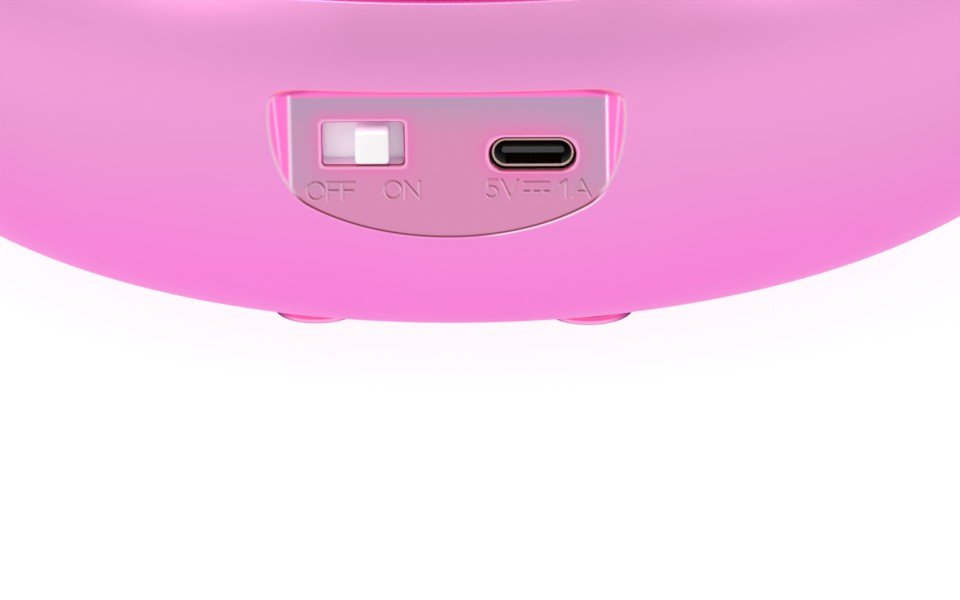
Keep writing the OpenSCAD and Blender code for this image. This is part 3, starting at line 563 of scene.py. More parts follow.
def build_lower_shell():
    """The case's outer skin on one grid, with the bay, the relief marks and every hole."""
    columns, rows = shell_columns(), shell_rows()
    count, height = len(columns), len(rows)
    phi, z = np.meshgrid(columns, rows)
    near_bay = (np.abs(np.sin(phi)) < 0.3) & (np.cos(phi) > 0) & (z > 17)
    radius = side_radius(z)
    radius[near_bay] = shell_radius(phi[near_bay], z[near_bay])
    body, bay = bay_fields(radius, phi, z)
    crossing = 0.42 + 0.5 * smooth(z, 25.5, 27.5)
    inside = (bay - body) / crossing
    radius -= np.where(near_bay, BAY_STEP * smooth(inside, 0.0, 0.2), 0)
    masks = bay_masks(phi, z, radius, near_bay, inside)
    on_plate = near_bay & (radius * np.cos(phi) < BAY_Y - 0.05) & (inside > 0.3)
    relief = np.zeros(z.shape)
    relief[on_plate] = mark_relief(radius[on_plate] * np.sin(phi[on_plate]), z[on_plate])
    shade_relief(masks, radius * np.sin(phi), z, relief, on_plate)
    radius += relief
    points = np.stack([radius * np.sin(phi), -radius * np.cos(phi), z], axis=2).reshape(-1, 3)
    blocks = shell_holes(columns, rows)

    def vertex(c, r):
        return r * count + c

    covered = np.zeros((height - 1, count), bool)
    for block, *_ in blocks:
        covered[block[2]:block[3], block[0]:block[1]] = True
    faces = []
    for r in range(height - 1):
        for c in range(count):
            if not covered[r, c]:
                n = (c + 1) % count
                faces.append((vertex(c, r), vertex(c, r + 1), vertex(n, r + 1), vertex(n, r)))

    extra = []
    extra_masks = {name: [] for name in masks}

    def add_ring(ring, values=None):
        start = count * height + len(extra)
        extra.extend(ring)
        for name in masks:
            given = values[name] if values else 0.0
            extra_masks[name].extend(np.broadcast_to(given, len(ring)))
        return list(range(start, start + len(ring)))

    def plate_ring_masks(ring, level):
        place = np.array(ring)
        flat = np.ones(len(ring), bool)
        values = bay_masks(np.arctan2(place[:, 0], -place[:, 1]), place[:, 2],
                           np.hypot(place[:, 0], place[:, 1]), flat, flat * 9.0)
        # Painted light round the window and the socket: a pale line where the rounded edge starts, hot pink
        # reflection from its middle down the wall, and on the lower edge painted shade with a highlight
        # below it.
        low_side = smooth(WINDOW_AT[1] - place[:, 2], 1.5, 2.2)
        values["wall"] = min(1.0, max(0, level - 2) / 2)
        values["stripe"] = 0.3 if level in (2, 3) else np.where(level > 6, 0.75 * low_side, 0.0)
        values["dark_line"] = 0.8 * low_side if level in (4, 5, 6) else 0.0
        return values

    def join_rings(first, second, flip=False):
        for k in range(len(first)):
            m = (k + 1) % len(first)
            face = (first[k], second[k], second[m], first[m])
            faces.append(face[::-1] if flip else face)

    for number, (block, half, corner, to_local, surface, depth, fillet) in enumerate(blocks):
        ids, levels = hole_patch(vertex, columns, rows, block, half, corner,
                                 to_local, surface, depth, fillet)
        for level, ring in enumerate(levels):
            ring_ids = add_ring(ring, plate_ring_masks(ring, level) if number < 2 else None)
            join_rings(ids, ring_ids)
            ids = ring_ids
        if number >= len(blocks) - len(SCREW_ANGLES):
            middle = np.mean(levels[-1], axis=0)
            ids_in = add_ring([middle + (np.array(p) - middle) * 0.55 for p in levels[-1]])
            join_rings(ids, ids_in)

    # Rim: over the top and a little way down inside; foot: in under the base plate
    rim_r = float(side_radius(RIM_Z))
    rim = [(rim_r - 0.12, RIM_Z - 0.12), (rim_r - 0.4, RIM_Z), (rim_r - WALL, RIM_Z),
           (rim_r - WALL, RIM_Z - 3.0)]
    base = [(SIDE_CR - 3.0, FLOOR_Z), (SIDE_CR - 3.0, FLOOR_Z + WALL)]
    for start_row, path, flip in ((0, rim, True), (height - 1, base, False)):
        ids = [vertex(c, start_row) for c in range(count)]
        for r_mm, z_mm in path:
            ring_ids = add_ring(list(zip(r_mm * np.sin(columns), -r_mm * np.cos(columns),
                                         [z_mm] * count)))
            join_rings(ids, ring_ids, flip)
            ids = ring_ids

    obj = make_object("lower_shell_skin", np.vstack([points, np.array(extra, float)]), faces)
    for name, values in masks.items():
        write_mask(obj, name, np.concatenate([values.ravel(), extra_masks[name]]))
    return obj


# ---------------------------------------------------------------- turned parts of the case

def turned(name, *outlines, segments=256):
    """One object from closed (radius, height) outlines turned round the case's axis."""
    return make_object(name, *merged([lathe(outline, segments) for outline in outlines]))


def build_trim_ring():
    low, high = box_mm("trim_ring")
    out_r = (high.x - low.x) / 2
    lip_r = SIDE_CR + math.sqrt((SIDE_R - WALL) ** 2 - (RIM_Z - SIDE_CZ) ** 2) - 0.15
    inner_r = lip_r - 1.6
    bead = (high.z - RIM_Z) / 2
    outline = filleted([(inner_r, low.z, 0.3), (lip_r, low.z, 0.3), (lip_r, RIM_Z, 0),
                        (out_r, RIM_Z, bead * 0.98), (out_r, high.z, bead * 0.98),
                        (inner_r, high.z, 0.3)], 10)
    return turned("trim_ring_bead", outline)


def build_top_cover():
    low, high = box_mm("top_cover")
    bezel_high = box_mm("grille_bezel")[1]
    fillet = 4.0
    fillet_z = high.z - fillet
    fillet_r = SIDE_CR + math.sqrt((SIDE_R - fillet) ** 2 - (fillet_z - SIDE_CZ) ** 2)
    turn = math.degrees(math.atan2(fillet_z - SIDE_CZ, fillet_r - SIDE_CR))
    start_z = RIM_Z + 2.0
    start = math.degrees(math.asin((start_z - SIDE_CZ) / SIDE_R))
    inner_start = math.degrees(math.asin((start_z - SIDE_CZ) / (SIDE_R - WALL)))
    mouth_r = bezel_high.x + 0.3
    well_r = mouth_r - 2.2
    ledge_z = high.z - 2.0
    well_wall = 2.0
    side = arc((SIDE_CR, SIDE_CZ), SIDE_R, start, turn, 16)
    shoulder = arc((fillet_r, fillet_z), fillet, turn, 90, 10)[1:]
    mouth = filleted([(fillet_r - 1, high.z, 0), (mouth_r, high.z, 0.6), (mouth_r, ledge_z, 0.2),
                      (well_r, ledge_z, 0.4), (well_r, low.z, 0), (well_r + well_wall, low.z, 0),
                      (well_r + well_wall, ledge_z - 4, 0), (mouth_r + 2, ledge_z - 4, 0),
                      (mouth_r + 2, high.z - WALL, 0)], 6)
    back = arc((fillet_r, fillet_z), fillet - WALL, 90, turn, 6)
    back += arc((SIDE_CR, SIDE_CZ), SIDE_R - WALL, turn, inner_start, 10)[1:]
    return turned("top_cover_shell", side + shoulder + mouth + back)


def build_grille_bezel():
    low, high = box_mm("grille_bezel")
    mesh_low, mesh_high = box_mm("intake_grille")
    mesh_r = mesh_high.x
    inner_r = GRILLE_OPEN_R
    flange_r = high.x
    skirt_r = flange_r - 2.2
    ledge_z = high.z - 1.6
    outline = filleted([(inner_r, mesh_high.z, 0), (inner_r, high.z, 0.5), (flange_r, high.z, 0.6),
                        (flange_r, ledge_z, 0.1), (skirt_r, ledge_z, 0), (skirt_r, low.z, 0.3),
                        (mesh_r - 1, low.z, 0.3), (mesh_r - 1, mesh_low.z, 0),
                        (mesh_r, mesh_low.z, 0), (mesh_r, mesh_high.z, 0)], 6)
    return turned("grille_bezel_ring", outline)


def build_intake_grille():
    """A sheet of hexagonal cells, each with a round-cornered, bevelled hexagonal hole."""
    low, high = box_mm("intake_grille")
    sheet_r = high.x
    pitch, web, bevel = 6.4, 1.1, 0.16
    row_step = pitch * math.sqrt(3) / 2
    across = 3
    cell = np.array([(math.cos(math.radians(60 * k + 30)), math.sin(math.radians(60 * k + 30)))
                     for k in range(6)])

    def hexagon(radius, rounding):
        ring = []
        for k in range(6):
            a, b = cell[k], cell[(k + 1) % 6]
            for i in range(across):
                point = a + (b - a) * i / across
                if i == 0:
                    point = point * (1 - rounding)
                ring.append(point * radius)
        return np.array(ring)

    points, faces = [], []
    rows = int(sheet_r / row_step) + 1
    columns = math.ceil(sheet_r / pitch) + 1
    steps = 6 * across
    cell_r, hole_r = pitch / math.sqrt(3), (pitch - web) / math.sqrt(3)
    levels = ((cell_r, 0, high.z), (hole_r + bevel, 0.03, high.z), (hole_r, 0.05, high.z - bevel),
              (hole_r, 0.05, low.z + bevel), (hole_r + bevel, 0.03, low.z), (cell_r, 0, low.z))
    for j in range(-rows, rows + 1):
        for i in range(-columns, columns + 1):
            centre = np.array([(i + (abs(j) % 2) / 2) * pitch, j * row_step])
            distance = np.linalg.norm(centre)
            if distance > sheet_r:
                continue
            is_open = distance < GRILLE_OPEN_R - pitch / 2
            used = levels if is_open else (levels[0], levels[-1])
            base = len(points)
            for radius, rounding, z in used:
                for x, y in centre + hexagon(radius, rounding):
                    reach = max(1.0, math.hypot(x, y) / sheet_r)
                    points.append((x / reach, y / reach, z))
            if is_open:
                for level in range(len(used) - 1):
                    for k in range(steps):
                        a, b = base + level * steps, base + (level + 1) * steps
                        m = (k + 1) % steps
                        faces.append((a + k, a + m, b + m, b + k)[::-1])
            else:
                faces.append(tuple(base + k for k in range(steps)))
                faces.append(tuple(base + steps + k for k in range(steps))[::-1])
    obj = make_object("intake_grille_sheet", points, faces)
    weld(obj)
    sharpen(obj, 50)
    return obj


def build_base_plate():
    """The plate under the case with its six polished feet, and the rubber pads in the feet."""
    low, high = box_mm("base_plate")
    pad_top = box_mm("foot_pads")[1].z
    ring_r, angle, turn, foot_r, pad_r = 44.4, 20.0, -1.4, 4.9, 3.0
    plate_z = high.z - 0.8
    disc_r = ring_r + foot_r + 0.1
    band_low, band_high = low.z + 0.5, low.z + 0.66
    disc = filleted([(0, plate_z, 0), (disc_r, plate_z, 0.25), (disc_r, high.z, 0), (0, high.z, 0)])
    foot = filleted([(pad_r, low.z, 0.1), (foot_r, low.z, 0.4), (foot_r, band_low, 0),
                     (foot_r, (band_low + band_high) / 2, 0), (foot_r, band_high, 0),
                     (foot_r, plate_z, 0), (pad_r, plate_z, 0)], 8)
    pad_edge = pad_r - 0.02
    pad = filleted([(0, 0, 0), (pad_edge, 0, 0.25), (pad_edge, pad_top, 0), (0, pad_top, 0)])
    angles = (-angle - 90, angle - 90, 0, 180, 90 - angle, 90 + angle)
    places = [(ring_r * math.cos(math.radians(a + turn)), ring_r * math.sin(math.radians(a + turn)))
              for a in angles]
    feet = [lathe(foot, 72, at) for at in places]
    plate = make_object("base_plate_disc", *merged([lathe(disc, 192)] + feet))
    corners = np.array([v.co for v in plate.data.vertices]) / MM
    nearest_foot = np.argmin([np.hypot(corners[:, 0] - x, corners[:, 1] - y) for x, y in places], axis=0)
    off_centre = np.abs(corners[:, 0] - np.array(places)[nearest_foot, 0]) / foot_r
    # Painted light on the feet: a pale highlight band low on the sides that face front and back, a hot pink
    # reflection above it, and painted shade at the left and right ends.
    above = corners[:, 2]
    in_band = smooth(above, band_low, band_high)
    below_plate = above < plate_z - 0.05
    side_band = smooth(above, low.z + 0.05, low.z + 0.2) * (1 - in_band)
    write_mask(plate, "highlight_band", 0.6 * side_band * (1 - smooth(off_centre, 0.35, 0.85)))
    write_mask(plate, "reflection_band", in_band * below_plate)
    write_mask(plate, "shaded_end", smooth(off_centre, 0.5, 0.98) * below_plate)
    pads = make_object("foot_pad_set", *merged([lathe(pad, 72, at) for at in places]))
    return plate, pads


# ---------------------------------------------------------------- small parts in the bay

def rounded_ring(half_w, half_h, corner, inset=0.0, steps=10):
    """A round-cornered rectangle in X and Z about its centre, moved in by inset."""
    half_w, half_h, corner = half_w - inset, half_h - inset, max(corner - inset, 0.02)
    ring = []
    for quarter, (sx, sz) in enumerate(((1, 1), (-1, 1), (-1, -1), (1, -1))):
        centre = (sx * (half_w - corner), sz * (half_h - corner))
        ring += arc(centre, corner, 90 * quarter, 90 * quarter + 90, steps)
    return ring


def lofted(rings, close_first=True, close_last=True):
    """Points and faces through rings of (x, z) points, each given with its distance y."""
    points, faces = [], []
    steps = len(rings[0][0])
    for ring, y in rings:
        points += [(x, y, z) for x, z in ring]
    for level in range(len(rings) - 1):
        for k in range(steps):
            m = (k + 1) % steps
            a, b = level * steps, (level + 1) * steps
            faces.append((a + k, a + m, b + m, b + k))
    if close_first:
        faces.append(tuple(range(steps))[::-1])
    if close_last:
        start = (len(rings) - 1) * steps
        faces.append(tuple(start + k for k in range(steps)))
    return points, faces


def block(at, half, corner, y_back, y_front, edge):
    """A block towards the front with round corners and a rounded front edge."""
    rings = [(rounded_ring(*half, corner), y_back)]
    for a in np.linspace(0, 90, 7):
        inset = edge * (1 - math.cos(math.radians(a)))
        rings.append((rounded_ring(*half, corner, inset),
                      y_front + edge * (1 - math.sin(math.radians(a)))))
    placed = [([(at[0] + x, at[1] + z) for x, z in ring], y) for ring, y in rings]
    return lofted(placed)


def build_switch_knob():
    """The slider's knob on its dust flange, with a mask for the faces that glow a little as painted bounce
    light.
    """
    low, high = box_mm("switch_knob")
    knob_at = ((low.x + high.x) / 2, (low.z + high.z) / 2)
    flange_half = ((high.x - low.x) / 2, (high.z - low.z) / 2)
    flange_y = high.y - 0.8
    knob_half = (1.85, 1.9)
    knob = block(knob_at, knob_half, 0.42, flange_y, low.y, 0.38)
    flange = block(knob_at, flange_half, 0.5, high.y, flange_y, 0.12)
    obj = make_object("switch_knob_soft", *merged([knob, flange]))
    places = np.array([v.co for v in obj.data.vertices]) / MM
    # Painted light: a little emission on the flange, stronger on its left, and on the knob's top face,
    # standing in for light thrown back onto them.
    on_flange = places[:, 1] > flange_y - 0.01
    on_top = smooth(places[:, 2], knob_at[1] + 1.5, knob_at[1] + 1.88)
    on_left = smooth(knob_at[0] - places[:, 0], -0.5, 0.5)
    write_mask(obj, "bounce_glow", np.where(on_flange, 0.13 + 0.13 * on_left, 0.30 * on_top))
    return obj


def build_usb_shell():
    low, high = box_mm("usb_shell")
    half = ((high.x - low.x) / 2, (high.z - low.z) / 2)
    sheet, edge, back_t = 0.3, 0.12, 1.6
    rings = [(rounded_ring(*half, half[1]), high.y)]
    for a in np.linspace(0, 90, 5):
        rings.append((rounded_ring(*half, half[1], edge * (1 - math.cos(math.radians(a)))),
                      low.y + edge * (1 - math.sin(math.radians(a)))))
    for a in np.linspace(90, 0, 5):
        rings.append((rounded_ring(*half, half[1], sheet - edge * (1 - math.cos(math.radians(a)))),
                      low.y + edge * (1 - math.sin(math.radians(a)))))
    rings.append((rounded_ring(*half, half[1], sheet), high.y - back_t))
    placed = [([(USB_AT[0] + x, USB_AT[1] + z) for x, z in ring], y) for ring, y in rings]
    return make_object("usb_shell_can", *lofted(placed))


def shade_with(obj, slot_name, inside):
    """Gives the faces for which inside(centre in mm) is true a second material."""
    obj.data.materials.append(materials[slot_name])
    for face in obj.data.polygons:
        if inside(face.center / MM):
            face.material_index = 1


def sharpen(obj, degrees):
    """Flat shading across edges that turn by more than the angle."""
    obj.data.set_sharp_from_angle(angle=math.radians(degrees))


# ---------------------------------------------------------------- materials

def new_material(name):
    """An empty node material with its shader, and shortcuts to its nodes and links."""
    made = bpy.data.materials.new(name)
    made.use_nodes = True
    tree = made.node_tree
    shader = next(n for n in tree.nodes if n.type == "BSDF_PRINCIPLED")
    return made, tree, shader


def noise(tree, scale, detail=3.0, roughness=0.55, stretch=None):
    """A noise field in object space; stretch squeezes it along an axis, as brushing does."""
    coords = tree.nodes.new("ShaderNodeTexCoord")
    source = coords.outputs["Object"]
    if stretch:
        mapping = tree.nodes.new("ShaderNodeMapping")
        mapping.inputs["Scale"].default_value = stretch
        tree.links.new(source, mapping.inputs["Vector"])
        source = mapping.outputs["Vector"]
    field = tree.nodes.new("ShaderNodeTexNoise")
    field.inputs["Scale"].default_value = scale
    field.inputs["Detail"].default_value = detail
    field.inputs["Roughness"].default_value = roughness
    tree.links.new(source, field.inputs["Vector"])
    return field.outputs["Fac"]


def spread(tree, value, low, high, from_low=0.3, from_high=0.7):
    """The value stretched from one range onto another."""
    node = tree.nodes.new("ShaderNodeMapRange")
    node.inputs["From Min"].default_value = from_low
    node.inputs["From Max"].default_value = from_high
    node.inputs["To Min"].default_value = low
    node.inputs["To Max"].default_value = high
    tree.links.new(value, node.inputs["Value"])
    return node.outputs["Result"]


def mix_colour(tree, share, first, second, kind="RGBA", socket_type="RGBA"):
    """Two colours, or colour outputs, mixed by a share from 0 to 1."""
    node = tree.nodes.new("ShaderNodeMix")
    node.data_type = kind
    tree.links.new(share, node.inputs["Factor"])
    for socket, value in (("A", first), ("B", second)):
        target = next(s for s in node.inputs if s.name == socket and s.type == socket_type)
        if isinstance(value, tuple):
            target.default_value = (*value, 1.0)
        elif isinstance(value, float):
            target.default_value = value
        else:
            tree.links.new(value, target)
    return next(s for s in node.outputs if s.type == socket_type)


def mix_value(tree, share, first, second):
    """Two numbers, or number outputs, mixed by a share from 0 to 1."""
    return mix_colour(tree, share, first, second, "FLOAT", "VALUE")


def bump(tree, shader, height, distance):
    """A bump from a height field, distance in metres; returns the node."""
    node = tree.nodes.new("ShaderNodeBump")
    node.inputs["Distance"].default_value = distance
    tree.links.new(height, node.inputs["Height"])
    tree.links.new(node.outputs["Normal"], shader.inputs["Normal"])
    return node


def object_height(tree):
    """The height above the table, in metres."""
    coords = tree.nodes.new("ShaderNodeTexCoord")
    parts = tree.nodes.new("ShaderNodeSeparateXYZ")
    tree.links.new(coords.outputs["Object"], parts.inputs["Vector"])
    return parts.outputs["Z"]


def add(tree, first, second):
    """The sum of two outputs, held between 0 and 1."""
    node = tree.nodes.new("ShaderNodeMath")
    node.operation = "ADD"
    node.use_clamp = True
    tree.links.new(first, node.inputs[0])
    tree.links.new(second, node.inputs[1])
    return node.outputs["Value"]


def by_height(tree, stops_at, drift):
    """A colour that changes with the height in metres, with a little drift from place to place."""
    low, high = stops_at[0][0], stops_at[-1][0]
    share = add(tree, drift, spread(tree, object_height(tree), 0, 1, low, high))
    ramp = tree.nodes.new("ShaderNodeValToRGB")
    for number, (height, colour) in enumerate(stops_at):
        place = (height - low) / (high - low)
        if number in (0, len(stops_at) - 1):
            stop = ramp.color_ramp.elements[-1 if number else 0]
        else:
            stop = ramp.color_ramp.elements.new(place)
        stop.position = place
        stop.color = (*colour, 1.0)
    tree.links.new(share, ramp.inputs["Fac"])
    return ramp.outputs["Color"]


def attribute(tree, name):
    """A mask stored on the mesh."""
    node = tree.nodes.new("ShaderNodeAttribute")
    node.attribute_type = "GEOMETRY"
    node.attribute_name = name
    return node.outputs["Fac"]


# Painted shade: the satin's colour changes with height to stand in for how the light falls on the case, most
# saturated low down, darker in the middle and paler at the top.
SATIN_SHADE_BY_HEIGHT = ((0.005, (0.96, 0.20, 0.72)), (0.030, (0.79, 0.29, 0.62)),
                   (0.049, (0.86, 0.342, 0.66)))
SATIN_EDGE_TINT = (0.93, 0.76, 0.90, 1.0)
BRIGHT_EDGE_TINT = (0.55, 0.18, 0.42, 1.0)
# Painted reflection on the polished plate: mauve at the top and sides, rose low down and in the middle.
PLATE_MAUVE = (0.44, 0.295, 0.44)
PLATE_ROSE = (0.64, 0.247, 0.43)
# Painted reflections: the pink glow round the openings, and the hot pink of the bay's walls.
HALO_PINK = (0.82, 0.14, 0.46)
HOT_PINK = (0.95, 0.18, 0.58)
# Painted highlight white for the bay's stripes, glints and the lit edges of the marks.
HIGHLIGHT_WHITE = (0.97, 0.90, 0.98)
# Painted lines: pale, dark red and coral lines along the bay's edges.
LINE_GREY = (0.70, 0.46, 0.60)
LINE_RED = (0.30, 0.025, 0.03)
LIP_CORAL = (0.98, 0.22, 0.30)
BACK_LIGHT = (0.95, 0.72, 1.0)
# Painted highlight, reflection and shade for the polished feet.
FOOT_HIGHLIGHT_LILAC = (0.97, 0.55, 0.90)
FOOT_REFLECTION_ROSE = (0.98, 0.10, 0.38)
FOOT_SHADE_PLUM = (0.30, 0.06, 0.24)


def plated_pink():
    """Pink electroplating on moulded plastic: satin outside, polished in the bay.

    The masks paint on what the photo's studio lights leave in the bay: redder walls, a glow round
    the openings, white stripes at the upright corners, and pale and dark lines along the edges.
    """
    made, tree, shader = new_material("plated_pink")
    polish = attribute(tree, "polish")
    # Painted shade by height on the satin, with a little random drift.
    satin = by_height(tree, SATIN_SHADE_BY_HEIGHT, spread(tree, noise(tree, 22, 2.0), -0.05, 0.05))
    plate = mix_colour(tree, attribute(tree, "rose_reflection"), PLATE_MAUVE, PLATE_ROSE)
    tone = mix_colour(tree, polish, satin, plate)
    for mask, colour in (("wall", HOT_PINK), ("halo", HALO_PINK), ("stripe", HIGHLIGHT_WHITE),
                         ("pale_line", LINE_GREY), ("coral_line", LIP_CORAL), ("dark_line", LINE_RED)):
        tone = mix_colour(tree, attribute(tree, mask), tone, colour)
    tree.links.new(tone, shader.inputs["Base Color"])
    shader.inputs["Metallic"].default_value = 1.0
    shader.inputs["Specular Tint"].default_value = SATIN_EDGE_TINT
    satin_rough = spread(tree, noise(tree, 60, 4.0), 0.34, 0.40)
    bright_rough = spread(tree, noise(tree, 300, 3.0), 0.05, 0.11)
    bright_rough = mix_value(tree, attribute(tree, "lip"), bright_rough, 0.5)
    tree.links.new(mix_value(tree, polish, satin_rough, bright_rough), shader.inputs["Roughness"])
    node = bump(tree, shader, noise(tree, 9000, 2.0), 0.000004)
    tree.links.new(mix_value(tree, polish, 0.6, 0.0), node.inputs["Strength"])
    return made


def polished_pink():
    """Mirror-bright pink plating with the faintest orange peel and fine rub marks; on the feet, masks paint
    a highlight band, a pink reflection and shaded ends.
    """
    made, tree, shader = new_material("polished_pink")
    drift = spread(tree, noise(tree, 30), 0, 1)
    tone = mix_colour(tree, drift, (0.92, 0.16, 0.50), (0.95, 0.20, 0.55))
    for mask, colour in (("highlight_band", FOOT_HIGHLIGHT_LILAC), ("reflection_band", FOOT_REFLECTION_ROSE), ("shaded_end", FOOT_SHADE_PLUM)):
        tone = mix_colour(tree, attribute(tree, mask), tone, colour)
    tree.links.new(tone, shader.inputs["Base Color"])
    shader.inputs["Metallic"].default_value = 1.0
    shader.inputs["Specular Tint"].default_value = BRIGHT_EDGE_TINT
    tree.links.new(spread(tree, noise(tree, 240, 5.0), 0.05, 0.13), shader.inputs["Roughness"])
    bump(tree, shader, noise(tree, 320, 1.0), 0.000006)
    return made


def moulded(name, colour, second, rough=(0.30, 0.42), grain=4000, depth=0.000008, glow=0.0):
    """Moulded plastic: slight colour drift, fine texture and uneven gloss.

    With a glow, light spreads inside it, and the faces that the mask "recess" marks give off a
    little light, in place of what the plating round them throws back.
    """
    made, tree, shader = new_material(name)
    tone = mix_colour(tree, spread(tree, noise(tree, 45), 0, 1), colour, second)
    tree.links.new(tone, shader.inputs["Base Color"])
    tree.links.new(spread(tree, noise(tree, 120, 4.0), *rough), shader.inputs["Roughness"])
    if glow:
        shader.inputs["Subsurface Weight"].default_value = glow
        shader.inputs["Subsurface Radius"].default_value = (1.0, 0.8, 0.85)
        shader.inputs["Subsurface Scale"].default_value = 0.002
        shader.inputs["Emission Color"].default_value = (*BACK_LIGHT, 1.0)
        tree.links.new(attribute(tree, "bounce_glow"), shader.inputs["Emission Strength"])
    bump(tree, shader, noise(tree, grain, 2.0), depth)
    return made


def metal(name, colour, second, rough=(0.22, 0.38), stretch=None, depth=0.000006):
    """Bare or plated metal; stretch gives it a brushed direction."""
    made, tree, shader = new_material(name)
    tone = mix_colour(tree, spread(tree, noise(tree, 80), 0, 1), colour, second)
    tree.links.new(tone, shader.inputs["Base Color"])
    shader.inputs["Metallic"].default_value = 1.0
    tree.links.new(spread(tree, noise(tree, 500, 4.0, stretch=stretch), *rough), shader.inputs["Roughness"])
    bump(tree, shader, noise(tree, 2500, 3.0, stretch=stretch), depth)
    return made


def filter_paper():
    """Soft fibrous filter paper, a little dusty in patches."""
    made, tree, shader = new_material("filter_paper")
    dust = spread(tree, noise(tree, 160, 5.0), 0, 1, 0.42, 0.75)
    tone = mix_colour(tree, dust, (0.86, 0.83, 0.77), (0.70, 0.66, 0.62))
    tree.links.new(tone, shader.inputs["Base Color"])
    tree.links.new(spread(tree, noise(tree, 900), 0.8, 0.95), shader.inputs["Roughness"])
    shader.inputs["Sheen Weight"].default_value = 0.3
    bump(tree, shader, noise(tree, 3000, 5.0, 0.7), 0.00008)
    return made


def circuit_board():
    """Green solder mask with copper tracks showing faintly under it."""
    made, tree, shader = new_material("circuit_board")
    coords = tree.nodes.new("ShaderNodeTexCoord")
    tracks = tree.nodes.new("ShaderNodeTexBrick")
    tracks.inputs["Scale"].default_value = 420
    tracks.inputs["Mortar Size"].default_value = 0.012
    tracks.inputs["Color1"].default_value = (0, 0, 0, 1)
    tracks.inputs["Color2"].default_value = (0, 0, 0, 1)
    tracks.inputs["Mortar"].default_value = (1, 1, 1, 1)
    tree.links.new(coords.outputs["Object"], tracks.inputs["Vector"])
    tone = mix_colour(tree, tracks.outputs["Color"], (0.012, 0.13, 0.055), (0.03, 0.24, 0.10))
    tree.links.new(tone, shader.inputs["Base Color"])
    tree.links.new(spread(tree, noise(tree, 200), 0.25, 0.4), shader.inputs["Roughness"])
    bump(tree, shader, tracks.outputs["Color"], 0.00003)
    return made


def material_set():
    """One material for each slot of the record."""
    return {
        "satin_pink": plated_pink(),
        "polished_pink": polished_pink(),
        "white_plastic": moulded("white_plastic", (0.80, 0.80, 0.80), (0.78, 0.78, 0.785), glow=0.6),
        "pale_plastic": moulded("pale_plastic", (0.62, 0.62, 0.64), (0.68, 0.68, 0.70)),
        "black_plastic": moulded("black_plastic", (0.012, 0.012, 0.014), (0.022, 0.022, 0.025),
                                 (0.28, 0.45)),
        "brown_laminate": moulded("brown_laminate", (0.16, 0.07, 0.03), (0.22, 0.11, 0.05)),
        "steel": metal("steel", (0.62, 0.62, 0.64), (0.72, 0.72, 0.73)),
        "nickel": metal("nickel", (0.44, 0.33, 0.26), (0.52, 0.41, 0.33), (0.16, 0.30)),
        "mesh_metal": metal("mesh_metal", (0.74, 0.74, 0.76), (0.82, 0.82, 0.84), (0.24, 0.40), (1, 14, 1)),
        "rubber": moulded("rubber", (0.018, 0.018, 0.020), (0.035, 0.034, 0.036), (0.65, 0.85),
                          2500, 0.00002),
        "foam": moulded("foam", (0.05, 0.05, 0.055), (0.09, 0.09, 0.095), (0.8, 0.95), 1500, 0.0001),
        "filter_paper": filter_paper(),
        "ribbon": moulded("ribbon", (0.80, 0.16, 0.42), (0.88, 0.24, 0.52), (0.6, 0.8), 5000, 0.00004),
        "circuit_board": circuit_board(),
        "copper": metal("copper", (0.72, 0.30, 0.12), (0.85, 0.42, 0.20), (0.25, 0.4), (1, 1, 12), 0.00003),
        # Painted shade: the gold is much darker than bare gold, so the contacts read dark.
        "gold": metal("gold", (0.16, 0.11, 0.05), (0.20, 0.14, 0.06), (0.25, 0.35)),
        "magnet": moulded("magnet", (0.05, 0.048, 0.046), (0.08, 0.075, 0.07), (0.5, 0.7)),
        "cell_wrap": metal("cell_wrap", (0.60, 0.63, 0.68), (0.70, 0.72, 0.76), (0.28, 0.42), None, 0.00004),
        "amber_tape": moulded("amber_tape", (0.60, 0.28, 0.02), (0.72, 0.38, 0.05), (0.15, 0.25)),
        "lead_red": moulded("lead_red", (0.50, 0.02, 0.02), (0.60, 0.04, 0.03), (0.4, 0.55)),
        "lead_black": moulded("lead_black", (0.015, 0.015, 0.015), (0.03, 0.03, 0.03), (0.4, 0.55)),
        "passive_parts": moulded("passive_parts", (0.28, 0.24, 0.19), (0.40, 0.35, 0.28), (0.4, 0.6)),
    }


materials = material_set()


def finish_piece(obj, slot_name, body, *nodes):
    """Gives a new piece its material and body, and hides the CAD nodes it stands for."""
    obj.data.materials.clear()
    obj.data.materials.append(materials[slot_name])
    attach(obj, body)
    if nodes:
        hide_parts(*nodes)
    return obj


def dress_cad_nodes():
    """Each CAD node that stays visible gets its slot's material."""
    slots = {row["node"]: row["material_slot"] for row in frame["record"]["subparts"]}
    for name, obj in frame["nodes"].items():
        obj.data.materials.clear()
        obj.data.materials.append(materials[slots[name]])


# ---------------------------------------------------------------- stage

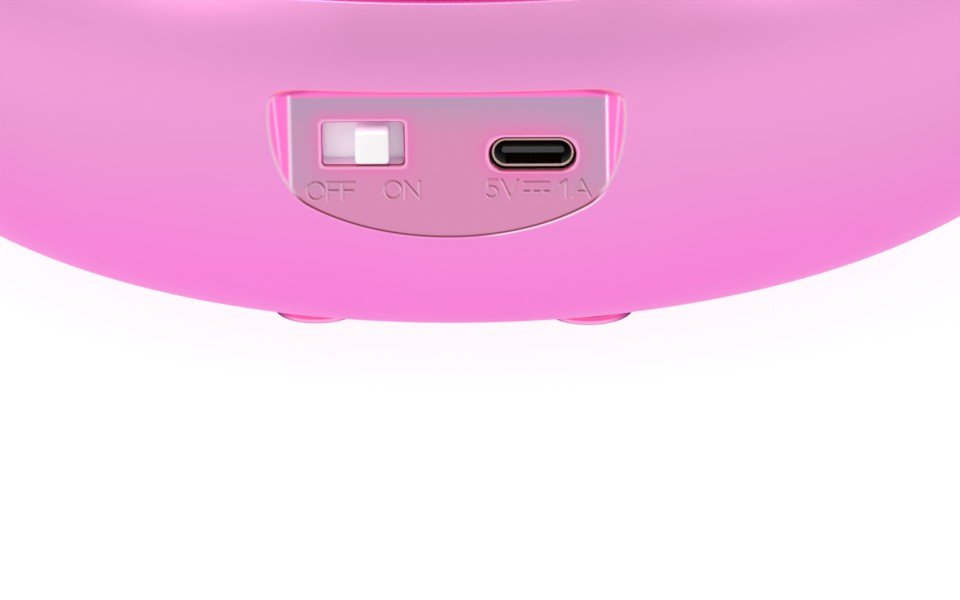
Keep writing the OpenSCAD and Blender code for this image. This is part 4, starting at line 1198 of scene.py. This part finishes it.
def build_stage():
    """A pale floor, soft boxes left and right of the camera, and an even pale sky."""
    size = 6.0
    reach, low = size / MM, -0.02
    floor = make_object("floor", [(-reach, -reach, low), (reach, -reach, low), (reach, reach, low),
                                  (-reach, reach, low)], [(0, 1, 2, 3)], smooth=False)
    made, tree, shader = new_material("floor_paper")
    tone = mix_colour(tree, spread(tree, noise(tree, 3), 0, 1), (0.12, 0.12, 0.122), (0.13, 0.13, 0.13))
    tree.links.new(tone, shader.inputs["Base Color"])
    shader.inputs["Roughness"].default_value = 0.9
    shader.inputs["Specular IOR Level"].default_value = 0.1
    shader.inputs["Emission Color"].default_value = (1.0, 1.0, 1.0, 1.0)
    shader.inputs["Emission Strength"].default_value = 0.92
    floor.data.materials.append(made)

    world = bpy.data.worlds.new("studio")
    bpy.context.scene.world = world
    world.use_nodes = True
    sky = next(n for n in world.node_tree.nodes if n.type == "BACKGROUND")
    sky.inputs["Color"].default_value = (1.0, 1.0, 1.0, 1.0)
    sky.inputs["Strength"].default_value = 0.72

    soft_box("box_left", azimuth=-62, elevation=42, distance=1.0, width=0.8, height=0.7, power=3.4)
    soft_box("box_right", azimuth=66, elevation=36, distance=1.0, width=0.7, height=0.7, power=2.0)
    soft_box("box_front", azimuth=-12, elevation=52, distance=1.1, width=0.9, height=0.5, power=2.4)
    soft_box("box_top", azimuth=180, elevation=72, distance=1.1, width=1.0, height=1.0, power=1.8)


def soft_box(name, azimuth, elevation, distance, width, height, power):
    """A rectangular lamp that looks at the object's middle; azimuth 0 is in front of it."""
    data = bpy.data.lights.new(name, "AREA")
    data.shape = "RECTANGLE"
    data.size, data.size_y = width, height
    data.energy = power
    lamp = bpy.data.objects.new(name, data)
    a, e = math.radians(azimuth), math.radians(elevation)
    away = Vector((math.sin(a) * math.cos(e), -math.cos(a) * math.cos(e), math.sin(e)))
    target = (cad_low + cad_high) / 2
    lamp.location = target + away * distance
    lamp.rotation_mode = "QUATERNION"
    lamp.rotation_quaternion = away.to_track_quat("Z", "Y")
    bpy.context.scene.collection.objects.link(lamp)


def build_camera():
    """A long lens close on the control bay, looking a little down, with the horizon tipped."""
    azimuth, elevation, roll = math.radians(2.215), math.radians(20.56), math.radians(-0.944)
    distance = 1.2857
    aim = Vector((0.0003, 0.0, -0.0142))
    data = bpy.data.cameras.new("camera")
    data.sensor_width = 36.0
    data.lens = 416.4
    data.clip_start, data.clip_end = 0.05, 20.0
    camera = bpy.data.objects.new("camera", data)
    back = Vector((math.sin(azimuth) * math.cos(elevation),
                   -math.cos(azimuth) * math.cos(elevation), math.sin(elevation)))
    camera.location = aim + back * distance
    camera.rotation_mode = "QUATERNION"
    tipped = Matrix.Rotation(roll, 3, "Z").to_quaternion()
    camera.rotation_quaternion = (-back).to_track_quat("-Z", "Y") @ tipped
    bpy.context.scene.collection.objects.link(camera)
    bpy.context.scene.camera = camera


# ---------------------------------------------------------------- build

dress_cad_nodes()
finish_piece(build_lower_shell(), "satin_pink", "case", "lower_shell")
finish_piece(build_trim_ring(), "polished_pink", "case", "trim_ring")
finish_piece(build_top_cover(), "satin_pink", "case", "top_cover")
finish_piece(build_grille_bezel(), "polished_pink", "grille", "grille_bezel")
finish_piece(build_intake_grille(), "mesh_metal", "grille", "intake_grille")
base_disc, pads = build_base_plate()
finish_piece(base_disc, "polished_pink", "case", "base_plate")
finish_piece(pads, "rubber", "case", "foot_pads")
finish_piece(build_switch_knob(), "white_plastic", "switch_slider", "switch_knob")
usb_can = finish_piece(build_usb_shell(), "nickel", "case", "usb_shell")
# Painted shade: the faces inside the USB can get the black rubber material, standing in for the shade deep
# in the socket.
shade_with(usb_can, "rubber", lambda c: c.y > usb_low.y + 0.3 and abs(c.z - USB_AT[1]) < 1.3
          and abs(c.x - USB_AT[0]) < 4.3)
build_stage()
build_camera()
bpy.context.scene.view_settings.view_transform = "Standard"
